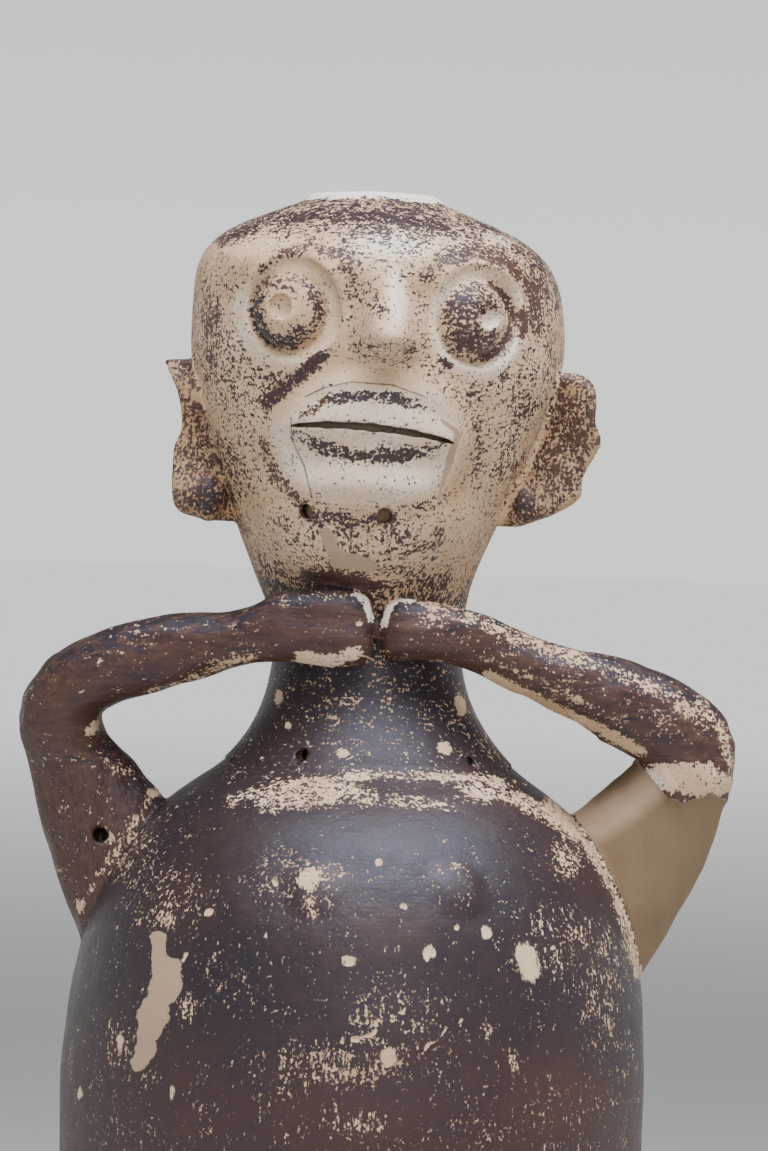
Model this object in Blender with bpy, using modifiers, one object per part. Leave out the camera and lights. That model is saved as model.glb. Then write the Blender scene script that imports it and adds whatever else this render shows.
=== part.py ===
# An anthropomorphic vessel of fired clay: a hollow turned body, neck and head, open at the crown,
# with arms, ears and eyes luted on before firing. It is one piece, so it is one object.
# The face looks along -Y, +Z is up, and the origin is the middle of the flat underside.
import math
from bisect import bisect

import bmesh
import bpy
from mathutils import Matrix, Vector

# Driving dimensions of the turned form, in metres, from the underside up.
BASE_RADIUS = 0.043
BASE_ROUNDING = 0.003
BELLY_RADIUS = 0.0935
BELLY_HEIGHT = 0.158
SHOULDER_RISE = 0.104       # from the belly to where the shoulder turns into the neck
SHOULDER_RADIUS = 0.0524
NECK_RISE = 0.043           # from there to the waist of the neck
WAIST_RADIUS = 0.0299
FACE_RISE = 0.097           # from the waist of the neck to the temples
TEMPLE_RADIUS = 0.0598
CROWN_RISE = 0.0448         # from the temples to the mouth in the crown
CROWN_RADIUS = 0.0222
LIP_HEIGHT = 0.0026         # the low lip around the mouth
LIP_SLOPE_WIDTH = 0.0054    # over which it runs out into the crown
MOUTH_RADIUS = 0.0155
WALL = 0.006
FLOOR = 0.009
HOLLOW_MARGIN = 0.003       # rounds the hollow off at the mouth and at the floor
UNDERSIDE_STEP = 0.0006

# Fired-clay details that have a size of their own.
ARM_DEPTH = 0.026           # upper arm, front to back
HAND_DEPTH = 0.015
HAND_SINK = 0.003           # how far a hand is pressed into the neck
SOCKET_RADIUS = 0.0175
SOCKET_DEPTH = 0.003
EYE_RADIUS = 0.0130
EYE_RISE = 0.0048
PUPIL_RADIUS = 0.0045
PUPIL_DEPTH = 0.0026
CHIN_HOLE_RADIUS = 0.0023
NECK_HOLE_RADIUS = 0.0022
ARM_HOLE_RADIUS = 0.0022
ARM_HOLE_DEPTH = 0.007
CHEST_RADIUS = 0.010
CHEST_RISE = 0.0022
SLIT_LENGTH = 0.049
SLIT_HEIGHT = 0.0020
SLIT_END = 0.0004           # its height where it runs out at the corners
SLIT_DEPTH = 0.0042
SLIT_STATIONS = 11
SLIT_SIDES = 8

# Heights that follow from them.
NECK_ROOT = BELLY_HEIGHT + SHOULDER_RISE
WAIST = NECK_ROOT + NECK_RISE
TEMPLE = WAIST + FACE_RISE
CROWN = TEMPLE + CROWN_RISE
HEAD_HEIGHT = CROWN - WAIST
FULL_TURN = 2 * math.pi
MERGE_DISTANCE = 0.00005

# How finely the turned forms are divided.
OUTER_STEPS = 36
HOLLOW_STEPS = 28
WALL_CURVES = {"base": 8, "shoulder": 7, "neck": 4, "face": 10, "crown": 6}
HOLLOW_CURVES = {"base": 6, "shoulder": 5, "neck": 3, "face": 7, "crown": 4}
FINE_CURVES = {"base": 100, "shoulder": 100, "neck": 60, "face": 120, "crown": 100}

# The hand-made form leans a little: height and sideways shift, both in metres.
SWAY = [
    (0.0, 0.0),
    (BELLY_HEIGHT, -0.0007),
    (NECK_ROOT, 0.0015),
    (WAIST, -0.0004),
    (WAIST + 0.25 * FACE_RISE, -0.0024),
    (TEMPLE, -0.0001),
    (CROWN, -0.0030),
]
CROWN_TILT = -0.046         # slope of the crown towards +X
FAR_TILT = -0.90            # the share of it on the other side

# The face, as shares of the head: heights from the waist of the neck to the crown,
# widths in temple radii and reliefs in metres.
JAW = {"x": -0.03, "height": 0.285, "width": 0.66, "reach": 0.175, "rise": 0.0085, "soft": 0.60}
MUZZLE = {"x": -0.01, "height": 0.472, "width": 0.62, "reach": 0.175, "rise": 0.0032, "soft": 0.35}
NOSE = {"x": 0.045, "root": 0.862, "tip": 0.690, "foot": 0.628, "width": 0.205, "rise": 0.0130}
BROW = {"height": 0.845, "reach": 0.052, "width": 0.90, "rise": 0.0030}
LIPS = {"height": 0.490, "width": 0.43, "upper": 0.078, "lower": 0.088, "rise": 0.0044}
LIP_SLOPE = -0.075          # the mouth falls a little towards +X
LIP_ARCH = -3.5             # and bends down at both corners, per metre

# Eyes: azimuth of socket, boss and pupil from the front, in degrees, the azimuth that the eye
# faces, and its height on the head.
EYES = [
    {"socket": -27.0, "boss": -28.0, "pupil": -29.5, "facing": -17.0, "height": 0.747},
    {"socket": 32.5, "boss": 30.5, "pupil": 33.5, "facing": 31.0, "height": 0.741},
]

# Arms, from inside the shoulder to the finger tips. Each station has its reach in belly radii,
# its height in neck rises above the neck's root, its width in metres, the lean of its section
# in degrees, how far forward it lies (0 beside the body, 1 on the neck) and its depth in
# upper-arm depths. A depth of None is the hand's own.
LEFT_ARM = [
    (0.80, -1.15, 0.036, 16, 0.00, 1.25),
    (0.845, -0.62, 0.042, 10, 0.00, 1.15),
    (0.935, -0.20, 0.036, 4, 0.05, 1.08),
    (1.015, 0.14, 0.0265, 0, 0.10, 1.00),
    (1.043, 0.44, 0.0260, 0, 0.20, 0.96),
    (0.968, 0.66, 0.0240, 0, 0.30, 0.90),
    (0.81, 0.825, 0.0240, 0, 0.45, 0.82),
    (0.64, 0.935, 0.0225, 0, 0.60, 0.74),
    (0.45, 1.03, 0.0175, 0, 0.78, 0.66),
    (0.257, 1.140, 0.0225, 0, 0.96, None),
    (0.102, 1.145, 0.0245, 0, 1.00, None),
    (0.010, 1.140, 0.0195, 0, 1.00, 0.46),
    (-0.013, 1.140, 0.0080, 0, 1.00, 0.25),
]
RIGHT_ARM = [
    (0.80, -0.92, 0.058, 24, 0.00, 1.25),
    (0.945, -0.50, 0.046, 14, 0.00, 1.18),
    (1.035, -0.18, 0.037, 6, 0.00, 1.12),
    (1.09, 0.12, 0.0310, 0, 0.08, 1.08),
    (1.085, 0.360, 0.0300, 0, 0.16, 1.04),
    (1.005, 0.510, 0.0290, 0, 0.26, 0.98),
    (0.900, 0.605, 0.0272, 0, 0.36, 0.90),
    (0.749, 0.745, 0.0227, 0, 0.50, 0.80),
    (0.535, 0.900, 0.0186, 0, 0.68, 0.68),
    (0.364, 1.058, 0.0175, 0, 0.86, 0.60),
    (0.214, 1.140, 0.0190, 0, 1.00, None),
    (0.112, 1.142, 0.0195, 0, 1.00, None),
    (0.060, 1.140, 0.0150, 0, 1.00, 0.42),
    (0.038, 1.140, 0.0070, 0, 1.00, 0.22),
]
ARM_SIDES = 14

# Ears, from the lobe up: height on the head, outer edge in temple radii and thickness in metres.
LEFT_EAR = {
    "azimuth": -80.0,
    "stations": [
        (0.268, 0.86, 0.006),
        (0.288, 1.02, 0.009),
        (0.330, 1.065, 0.012),
        (0.385, 1.075, 0.009),
        (0.430, 1.075, 0.006),
        (0.480, 1.045, 0.005),
        (0.540, 1.070, 0.006),
        (0.590, 1.125, 0.006),
        (0.628, 1.160, 0.004),
    ],
}
RIGHT_EAR = {
    "azimuth": 77.0,
    "stations": [
        (0.275, 0.84, 0.006),
        (0.305, 1.02, 0.010),
        (0.345, 1.165, 0.008),
        (0.400, 1.185, 0.006),
        (0.465, 1.265, 0.005),
        (0.520, 1.230, 0.005),
        (0.580, 1.220, 0.005),
        (0.612, 1.150, 0.004),
    ],
}
EAR_SIDES = 12
EAR_SINK = 0.004
DISH_WIDTH = 0.013
DISH_HEIGHT = 0.028
DISH_DEPTH = 0.0020
DISH_SHIFT = 0.001          # outwards from the middle of the ear

# Holes pierced before firing: azimuth in degrees, height in metres and radius.
HOLES = [
    (-21.5, WAIST + 0.300 * HEAD_HEIGHT, CHIN_HOLE_RADIUS),
    (6.5, WAIST + 0.297 * HEAD_HEIGHT, CHIN_HOLE_RADIUS),
    (-30.0, NECK_ROOT + 0.20 * NECK_RISE, NECK_HOLE_RADIUS),
    (48.0, NECK_ROOT + 0.18 * NECK_RISE, 0.75 * NECK_HOLE_RADIUS),
]
HOLE_SIDES = 12
ARM_HOLE = (0.89, -0.47)    # in belly radii and neck rises, like the stations of the left arm
CUTTER_REACH = 0.010        # how far a cutter starts outside the clay
CHEST_BOSSES = [(-11.0, 0.71), (21.5, 0.72)]   # azimuth, and height in shoulder rises


def bezier(start, lead, follow, end, steps):
    # Points along a cubic curve, each a (radius, height) pair, without the first.
    points = []
    for step in range(1, steps + 1):
        t = step / steps
        weights = ((1 - t) ** 3, 3 * t * (1 - t) ** 2, 3 * t * t * (1 - t), t ** 3)
        corners = (start, lead, follow, end)
        points.append(tuple(sum(w * c[axis] for w, c in zip(weights, corners)) for axis in (0, 1)))
    return points


def outline(steps):
    # The turned outline from the crown down to the edge of the base.
    crown = (CROWN_RADIUS, CROWN)
    temple = (TEMPLE_RADIUS, TEMPLE)
    waist = (WAIST_RADIUS, WAIST)
    root = (SHOULDER_RADIUS, NECK_ROOT)
    belly = (BELLY_RADIUS, BELLY_HEIGHT)
    base = (BASE_RADIUS, BASE_ROUNDING)
    points = [crown]
    points += bezier(
        crown, (CROWN_RADIUS + 0.76 * (TEMPLE_RADIUS - CROWN_RADIUS), CROWN - 0.21 * CROWN_RISE),
        (TEMPLE_RADIUS, TEMPLE + 0.71 * CROWN_RISE), temple, steps["crown"])
    points += bezier(
        temple, (TEMPLE_RADIUS, TEMPLE - 0.31 * FACE_RISE),
        (WAIST_RADIUS, WAIST + 0.23 * FACE_RISE), waist, steps["face"])
    points += bezier(
        waist, (WAIST_RADIUS, WAIST - 0.35 * NECK_RISE),
        (SHOULDER_RADIUS - 0.64 * (SHOULDER_RADIUS - WAIST_RADIUS), NECK_ROOT + 0.21 * NECK_RISE),
        root, steps["neck"])
    points += bezier(
        root, (SHOULDER_RADIUS + 0.68 * (BELLY_RADIUS - SHOULDER_RADIUS),
               NECK_ROOT - 0.168 * SHOULDER_RISE),
        (BELLY_RADIUS, BELLY_HEIGHT + 0.56 * SHOULDER_RISE), belly, steps["shoulder"])
    points += bezier(
        belly, (BELLY_RADIUS, 0.50 * BELLY_HEIGHT),
        (BASE_RADIUS + 0.48 * (BELLY_RADIUS - BASE_RADIUS), 0.13 * BELLY_HEIGHT), base,
        steps["base"])
    return points


FINE_OUTLINE = sorted((height, radius) for radius, height in outline(FINE_CURVES))
FINE_HEIGHTS = [height for height, radius in FINE_OUTLINE]


def between(table, keys, value):
    # Reads a table of (key, value) pairs at any key, in straight lines.
    after = min(max(bisect(keys, value), 1), len(table) - 1)
    (low, first), (high, second) = table[after - 1], table[after]
    share = min(max((value - low) / (high - low), 0.0), 1.0)
    return first + share * (second - first)


def radius_at(height):
    return between(FINE_OUTLINE, FINE_HEIGHTS, height)


def ease(share):
    share = min(max(share, 0.0), 1.0)
    return share * share * (3 - 2 * share)


def sway(height):
    for (low, first), (high, second) in zip(SWAY, SWAY[1:]):
        if height <= high:
            return first + (second - first) * ease((height - low) / (high - low))
    return SWAY[-1][1]


def settle(point):
    # Moves a point of the ideal turned form to where the hand-made one has it.
    tilt = CROWN_TILT * ease((point.z - TEMPLE - 0.4 * CROWN_RISE) / (0.6 * CROWN_RISE))
    side = 1.0 if point.x > 0 else FAR_TILT
    return Vector((point.x + sway(point.z), point.y, point.z + tilt * side * point.x))


def head_height(share):
    return WAIST + share * HEAD_HEIGHT


def mound(spot, x, height):
    # A low mound with a soft edge: 1 on its top and 0 outside its oval.
    across = (x / TEMPLE_RADIUS - spot["x"]) / spot["width"]
    along = (height - head_height(spot["height"])) / (spot["reach"] * HEAD_HEIGHT)
    return ease((1 - math.hypot(across, along)) / spot["soft"])


def broad_relief(x, height):
    # The jaw and the muzzle, which the hollow inside follows too.
    return JAW["rise"] * mound(JAW, x, height) + MUZZLE["rise"] * mound(MUZZLE, x, height)


def nose_relief(x, height):
    share = (height - WAIST) / HEAD_HEIGHT
    if share > NOSE["tip"]:
        rise = ease((NOSE["root"] - share) / (NOSE["root"] - NOSE["tip"])) ** 0.8
    else:
        rise = ease((share - NOSE["foot"]) / (NOSE["tip"] - NOSE["foot"])) ** 0.6
    spread = 0.55 + 0.45 * ease((NOSE["root"] - share) / (NOSE["root"] - NOSE["tip"]))
    across = abs(x / TEMPLE_RADIUS - NOSE["x"]) / (NOSE["width"] * spread)
    return NOSE["rise"] * rise * max(0.0, math.cos(0.5 * math.pi * min(across, 1.0))) ** 1.7


def brow_relief(x, height):
    along = (height - head_height(BROW["height"])) / (BROW["reach"] * HEAD_HEIGHT)
    across = abs(x) / (BROW["width"] * TEMPLE_RADIUS)
    return BROW["rise"] * math.exp(-along * along) * ease((1 - across) / 0.3)


def slit_height(x):
    return head_height(LIPS["height"]) + LIP_SLOPE * x + LIP_ARCH * x * x


def lip_relief(x, height):
    across = x / (LIPS["width"] * TEMPLE_RADIUS)
    if abs(across) >= 1:
        return 0.0
    gap = height - slit_height(x)
    reach = (LIPS["upper"] if gap > 0 else LIPS["lower"]) * HEAD_HEIGHT * (1 - across * across) ** 0.6
    along = min(abs(gap) / reach, 1.0)
    return LIPS["rise"] * (1 - along ** 1.4) * (1 - across ** 4)


def face_relief(x, height):
    fine = nose_relief(x, height) + brow_relief(x, height) + lip_relief(x, height)
    return broad_relief(x, height) + fine


def direction(azimuth):
    # Outward, level, at so many degrees from the front towards +X.
    angle = math.radians(azimuth)
    return Vector((math.sin(angle), -math.cos(angle), 0.0))


def surface_point(azimuth, height, lift=0.0, relief=broad_relief):
    out = direction(azimuth)
    radius = radius_at(height)
    rise = relief(out.x * radius, height) if out.y < 0 else 0.0
    return settle(out * (radius + rise + lift) + Vector((0, 0, height)))


def surface_frame(azimuth, height, facing=None):
    # A frame on the wall: its Z points straight out of the surface, or faces an azimuth.
    step = 0.002
    upward = surface_point(azimuth, height + step) - surface_point(azimuth, height - step)
    across = surface_point(azimuth + 1, height) - surface_point(azimuth - 1, height)
    normal = across.cross(upward).normalized()
    if facing is not None:
        normal = Matrix.Rotation(math.radians(facing - azimuth), 3, "Z") @ normal
    side = upward.cross(normal).normalized()
    frame = Matrix((side, normal.cross(side), normal)).transposed().to_4x4()
    frame.translation = surface_point(azimuth, height)
    return frame


def make_collection(name):
    collection = bpy.data.collections.new(name)
    bpy.context.scene.collection.children.link(collection)
    return collection


def add_object(name, shape, collection):
    # Turns a bmesh into an object of one collection.
    bmesh.ops.recalc_face_normals(shape, faces=shape.faces)
    mesh = bpy.data.meshes.new(name)
    shape.to_mesh(mesh)
    shape.free()
    item = bpy.data.objects.new(name, mesh)
    collection.objects.link(item)
    return item


def hide_guide(item):
    item.hide_render = True
    item.display_type = "WIRE"
    return item


def turned(name, profile, steps):
    # Turns a profile, which runs down its outer side, and returns the closed form as a bmesh.
    guide_mesh = bpy.data.meshes.new(name)
    points = [(radius, 0.0, height) for radius, height in profile]
    guide_mesh.from_pydata(points, [(i, i + 1) for i in range(len(points) - 1)], [])
    guide = bpy.data.objects.new(name, guide_mesh)
    bpy.context.scene.collection.objects.link(guide)
    screw = guide.modifiers.new("turn", "SCREW")
    screw.axis = "Z"
    screw.angle = FULL_TURN
    screw.steps = steps
    screw.render_steps = steps
    screw.use_merge_vertices = True
    screw.merge_threshold = MERGE_DISTANCE
    bpy.context.view_layer.update()
    mesh = bpy.data.meshes.new_from_object(guide.evaluated_get(bpy.context.evaluated_depsgraph_get()))
    bpy.data.objects.remove(guide)
    shape = bmesh.new()
    shape.from_mesh(mesh)
    bpy.data.meshes.remove(mesh)
    bmesh.ops.remove_doubles(shape, verts=shape.verts, dist=MERGE_DISTANCE)
    return shape


def divide_front(shape, half_angle, low, high):
    # Divides the faces in front of the head, where the carving is.
    def inside(vert):
        azimuth = abs(math.degrees(math.atan2(vert.co.x, -vert.co.y)))
        return azimuth < half_angle and low < vert.co.z < high
    edges = [edge for edge in shape.edges if all(inside(vert) for vert in edge.verts)]
    bmesh.ops.subdivide_edges(shape, edges=edges, cuts=1, use_grid_fill=True)


def carve(shape, relief, radius_of):
    # Puts every point of the wall on the turned surface, adds the relief and the lean.
    for vert in shape.verts:
        reach = math.hypot(vert.co.x, vert.co.y)
        if reach > MOUTH_RADIUS and BASE_ROUNDING < vert.co.z <= CROWN:
            out = Vector((vert.co.x, vert.co.y, 0.0)) / reach
            radius = radius_of(vert.co.z, reach)
            rise = relief(out.x * radius, vert.co.z) * ease(-1.6 * out.y)
            vert.co = out * (radius + rise) + Vector((0, 0, vert.co.z))
        vert.co = settle(vert.co)


def build_wall(collection):
    # The outer form, still solid, with the face carved in it.
    top = CROWN + LIP_HEIGHT
    profile = [(0.0, top), (CROWN_RADIUS - LIP_SLOPE_WIDTH, top),
               (CROWN_RADIUS - 0.4 * LIP_SLOPE_WIDTH, CROWN + 0.7 * LIP_HEIGHT)]
    profile += outline(WALL_CURVES)
    profile += [(BASE_RADIUS - BASE_ROUNDING, 0.0), (0.0, 0.0)]
    shape = turned("wall profile", profile, OUTER_STEPS)
    divide_front(shape, 76, head_height(0.09), head_height(0.93))
    divide_front(shape, 36, head_height(0.38), head_height(0.87))
    carve(shape, face_relief, lambda height, reach: radius_at(height))
    bmesh.ops.triangulate(shape, faces=shape.faces)
    return add_object("vessel", shape, collection)


def build_hollow(collection):
    # What the clay leaves free inside: body, neck and head, out through the crown.
    points = outline(HOLLOW_CURVES)
    offset = []
    for before, point, after in zip(points, points[1:], points[2:]):
        run = Vector((after[0] - before[0], after[1] - before[1])).normalized()
        offset.append((point[0] + run.y * WALL, point[1] - run.x * WALL))
    inner = [point for point in offset
             if point[0] > MOUTH_RADIUS + HOLLOW_MARGIN and point[1] > FLOOR + HOLLOW_MARGIN]
    under_crown = max(height for radius, height in inner) + UNDERSIDE_STEP
    above = CROWN + 4 * LIP_HEIGHT
    profile = [(0.0, above), (MOUTH_RADIUS, above), (MOUTH_RADIUS, under_crown)] + inner
    profile += [(inner[-1][0] - HOLLOW_MARGIN, FLOOR), (0.0, FLOOR)]
    shape = turned("hollow profile", profile, HOLLOW_STEPS)
    carve(shape, broad_relief, lambda height, reach: reach)
    return hide_guide(add_object("hollow", shape, collection))


def loft(name, rings, sides, collection):
    # Skins a row of oval sections. Each ring is a matrix: X and Y are its half axes.
    shape = bmesh.new()
    loops = []
    for index, ring in enumerate(rings):
        end = index in (0, len(rings) - 1)
        made = bmesh.ops.create_circle(shape, segments=sides, radius=1.0, cap_ends=end, matrix=ring)
        loops.append(list({edge for vert in made["verts"] for edge in vert.link_edges}))
    for first, second in zip(loops, loops[1:]):
        bmesh.ops.bridge_loops(shape, edges=first + second)
    bmesh.ops.triangulate(shape, faces=shape.faces)
    return hide_guide(add_object(name, shape, collection))


def arm_rings(stations, side):
    # Sections across the arm, square to its run apart from their own lean.
    forward = WAIST_RADIUS + 0.5 * HAND_DEPTH - HAND_SINK
    spots = []
    for reach, rise, width, lean, front, depth in stations:
        place = Vector((side * reach * BELLY_RADIUS, -front * forward, NECK_ROOT + rise * NECK_RISE))
        thickness = HAND_DEPTH if depth is None else depth * ARM_DEPTH
        spots.append((place, width, lean, thickness))
    rings = []
    for index, (place, width, lean, thickness) in enumerate(spots):
        run = spots[min(index + 1, len(spots) - 1)][0] - spots[max(index - 1, 0)][0]
        run.normalize()
        back = Vector((0.0, 1.0, 0.0))
        across = run.cross(back).normalized()
        across = Matrix.Rotation(math.radians(lean * side), 3, "Y") @ across
        through = across.cross(run).normalized()
        ring = Matrix((across * width / 2, through * thickness / 2, across.cross(through).normalized()))
        ring = ring.transposed().to_4x4()
        ring.translation = place
        rings.append(ring)
    return rings


def ear_rings(ear):
    # Level sections of an ear, each an oval from inside the wall out to the ear's edge.
    out = direction(ear["azimuth"])
    along = Vector((-out.y, out.x, 0.0))
    rings = []
    for share, edge, thickness in ear["stations"]:
        height = head_height(share)
        inner = radius_at(height) - EAR_SINK
        outer = edge * TEMPLE_RADIUS
        ring = Matrix((out * (outer - inner) / 2, along * thickness / 2, Vector((0, 0, 1))))
        ring = ring.transposed().to_4x4()
        ring.translation = settle(out * (outer + inner) / 2 + Vector((0, 0, height)))
        rings.append(ring)
    return rings


def dome(name, frame, radius, rise, collection, sides=20, rows=8):
    # A shallow round boss: a ball flattened onto the wall.
    shape = bmesh.new()
    scale = Matrix.Diagonal((radius, radius, rise, 1.0))
    bmesh.ops.create_uvsphere(
        shape, u_segments=sides, v_segments=rows, radius=1.0, matrix=frame @ scale)
    return hide_guide(add_object(name, shape, collection))


def rod(name, frame, radius, low, high, collection, sides=HOLE_SIDES):
    # A round cutter along a frame's Z, from one distance to another.
    shape = bmesh.new()
    middle = Matrix.Translation((0, 0, (low + high) / 2))
    bmesh.ops.create_cone(
        shape, cap_ends=True, segments=sides, radius1=radius, radius2=radius, depth=high - low,
        matrix=frame @ middle)
    return hide_guide(add_object(name, shape, collection))


def build_eyes(sockets, clay, cutters):
    for index, eye in enumerate(EYES):
        side = ("left", "right")[index]
        height = head_height(eye["height"])
        socket = surface_frame(eye["socket"], height, eye["facing"])
        bowl = socket @ Matrix.Translation((0, 0, SOCKET_RADIUS))
        dome(f"socket_{side}", bowl, SOCKET_RADIUS, SOCKET_RADIUS + SOCKET_DEPTH, sockets, sides=22)
        boss = surface_frame(eye["boss"], height, eye["facing"]) @ Matrix.Translation((0, 0, -SOCKET_DEPTH))
        dome(f"eye_{side}", boss, EYE_RADIUS, EYE_RISE + SOCKET_DEPTH, clay, sides=20)
        pupil = surface_frame(eye["pupil"], height, eye["facing"])
        pupil = pupil @ Matrix.Translation((0, 0, EYE_RISE))
        dome(f"pupil_{side}", pupil, PUPIL_RADIUS, PUPIL_DEPTH, cutters, sides=12, rows=6)


def build_mouth_slit(cutters):
    half = SLIT_LENGTH / 2
    rings = []
    for index in range(SLIT_STATIONS):
        share = 2 * index / (SLIT_STATIONS - 1) - 1
        x = half * share
        height = slit_height(x)
        azimuth = math.degrees(math.asin(x / (radius_at(height) + MUZZLE["rise"])))
        place = surface_point(azimuth, height, relief=face_relief)
        open_half = 0.5 * (SLIT_HEIGHT * (1 - share * share) ** 0.5 + SLIT_END)
        ring = Matrix(((0, SLIT_DEPTH, 0), (0, 0, open_half), (1, 0, 0))).transposed().to_4x4()
        ring.translation = place
        rings.append(ring)
    loft("mouth_slit", rings, SLIT_SIDES, cutters)


def build_holes(cutters):
    for index, (azimuth, height, radius) in enumerate(HOLES):
        out = direction(azimuth)
        frame = out.to_track_quat("Z", "Y").to_matrix().to_4x4()
        frame.translation = settle(Vector((0, 0, height)))
        wall_radius = radius_at(height)
        rod(f"hole_{index + 1}", frame, radius, wall_radius - 3 * WALL, wall_radius + 2 * CUTTER_REACH,
            cutters)
    reach, rise = ARM_HOLE
    frame = direction(0).to_track_quat("Z", "Y").to_matrix().to_4x4()
    frame.translation = Vector((-reach * BELLY_RADIUS, 0.0, NECK_ROOT + rise * NECK_RISE))
    front = 0.5 * ARM_DEPTH
    rod("hole_arm", frame, ARM_HOLE_RADIUS, front - ARM_HOLE_DEPTH, front + CUTTER_REACH, cutters)


def build_ears(clay, cutters):
    for side, ear in (("left", LEFT_EAR), ("right", RIGHT_EAR)):
        rings = ear_rings(ear)
        loft(f"ear_{side}", rings, EAR_SIDES, clay)
        middle = rings[len(rings) // 2].translation
        out = direction(ear["azimuth"])
        front = Vector((out.y, -out.x, 0.0)) * (1 if ear["azimuth"] > 0 else -1)
        half_thickness = ear["stations"][len(rings) // 2][2] / 2
        half_axes = (out * DISH_WIDTH / 2, front * (half_thickness + DISH_DEPTH),
                     Vector((0, 0, DISH_HEIGHT / 2)))
        dish = Matrix(half_axes).transposed().to_4x4()
        dish.translation = middle + front * (half_thickness + 0.5 * DISH_DEPTH) + out * DISH_SHIFT
        shape = bmesh.new()
        bmesh.ops.create_uvsphere(shape, u_segments=14, v_segments=8, radius=1.0, matrix=dish)
        hide_guide(add_object(f"dish_{side}", shape, cutters))


def build_chest(clay):
    for index, (azimuth, share) in enumerate(CHEST_BOSSES):
        frame = surface_frame(azimuth, BELLY_HEIGHT + share * SHOULDER_RISE)
        dome(f"chest_{index + 1}", frame, CHEST_RADIUS, CHEST_RISE, clay, sides=16, rows=6)


def boolean(item, operation, collection):
    modifier = item.modifiers.new(collection.name, "BOOLEAN")
    modifier.operation = operation
    modifier.solver = "EXACT"
    modifier.operand_type = "COLLECTION"
    modifier.collection = collection


def clay_material():
    material = bpy.data.materials.new("fired clay")
    material.use_nodes = True
    shader = material.node_tree.nodes["Principled BSDF"]
    shader.inputs["Base Color"].default_value = (0.12, 0.075, 0.06, 1.0)
    shader.inputs["Roughness"].default_value = 0.45
    shader.inputs["Metallic"].default_value = 0.0
    return material


def main():
    for item in list(bpy.data.objects):
        bpy.data.objects.remove(item)
    parts = make_collection("anthropomorphic vessel")
    sockets = make_collection("eye sockets")
    clay = make_collection("added clay")
    cutters = make_collection("hollow and holes")
    vessel = build_wall(parts)
    build_eyes(sockets, clay, cutters)
    loft("arm_left", arm_rings(LEFT_ARM, -1), ARM_SIDES, clay)
    loft("arm_right", arm_rings(RIGHT_ARM, 1), ARM_SIDES, clay)
    build_ears(clay, cutters)
    build_chest(clay)
    build_hollow(cutters)
    build_mouth_slit(cutters)
    build_holes(cutters)
    boolean(vessel, "DIFFERENCE", sockets)
    boolean(vessel, "UNION", clay)
    boolean(vessel, "DIFFERENCE", cutters)
    vessel.data.materials.append(clay_material())
    vessel.data.shade_smooth()
    vessel.data.set_sharp_from_angle(angle=math.radians(40))


main()
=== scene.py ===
import math

import bmesh
import bpy
import numpy as np
from mathutils import Matrix, Vector, noise


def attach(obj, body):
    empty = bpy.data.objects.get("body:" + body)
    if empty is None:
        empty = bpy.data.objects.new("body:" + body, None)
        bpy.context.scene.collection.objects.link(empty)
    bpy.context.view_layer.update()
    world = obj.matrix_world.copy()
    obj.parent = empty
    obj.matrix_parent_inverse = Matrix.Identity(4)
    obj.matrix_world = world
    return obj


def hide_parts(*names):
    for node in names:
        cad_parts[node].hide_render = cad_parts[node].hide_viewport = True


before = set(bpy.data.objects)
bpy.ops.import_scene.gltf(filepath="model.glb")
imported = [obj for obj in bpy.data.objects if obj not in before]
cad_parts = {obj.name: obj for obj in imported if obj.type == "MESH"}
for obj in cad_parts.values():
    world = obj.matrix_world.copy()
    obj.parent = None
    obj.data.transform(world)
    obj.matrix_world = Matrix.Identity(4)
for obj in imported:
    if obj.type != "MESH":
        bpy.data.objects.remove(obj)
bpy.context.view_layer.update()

# All lengths are in metres. The face looks along -Y and the vessel stands on z = 0.

# Camera. The photograph is 768 by 1151 pixels, at 0.32 mm a pixel on the vessel's axis.

camera = {
    "pixel": 0.00032,
    "width": 768,
    "height": 1151,
    "distance": 2.1,
    "pitch": 1.6,
    "roll": 1.9,
    "aim": (0.00416, 0.0, 0.3270),
    "sensor": 36.0,
}
pitch, roll = math.radians(camera["pitch"]), math.radians(camera["roll"])
cameraForward = Vector((0, math.cos(pitch), -math.sin(pitch)))
level = Vector((0, math.sin(pitch), math.cos(pitch)))
cameraRight = Vector((1, 0, 0)) * math.cos(roll) + level * math.sin(roll)
cameraUp = level * math.cos(roll) - Vector((1, 0, 0)) * math.sin(roll)
cameraPlace = Vector(camera["aim"]) - cameraForward * camera["distance"]
focus = camera["distance"] / camera["pixel"]


def onPhoto(points):
    # Where a point of the vessel shows, in pixels from the photograph's top left corner.
    local = points - np.array(cameraPlace)
    scale = focus / (local @ np.array(cameraForward))
    return (camera["width"] / 2 + (local @ np.array(cameraRight)) * scale,
            camera["height"] / 2 - (local @ np.array(cameraUp)) * scale)


def fromPhoto(u, v, y):
    # The point of the plane at depth y that shows at a pixel of the photograph.
    sideways = cameraRight * ((u - camera["width"] / 2) / focus)
    ray = cameraForward + sideways + cameraUp * ((camera["height"] / 2 - v) / focus)
    return cameraPlace + ray * ((y - cameraPlace.y) / ray.y)


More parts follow.
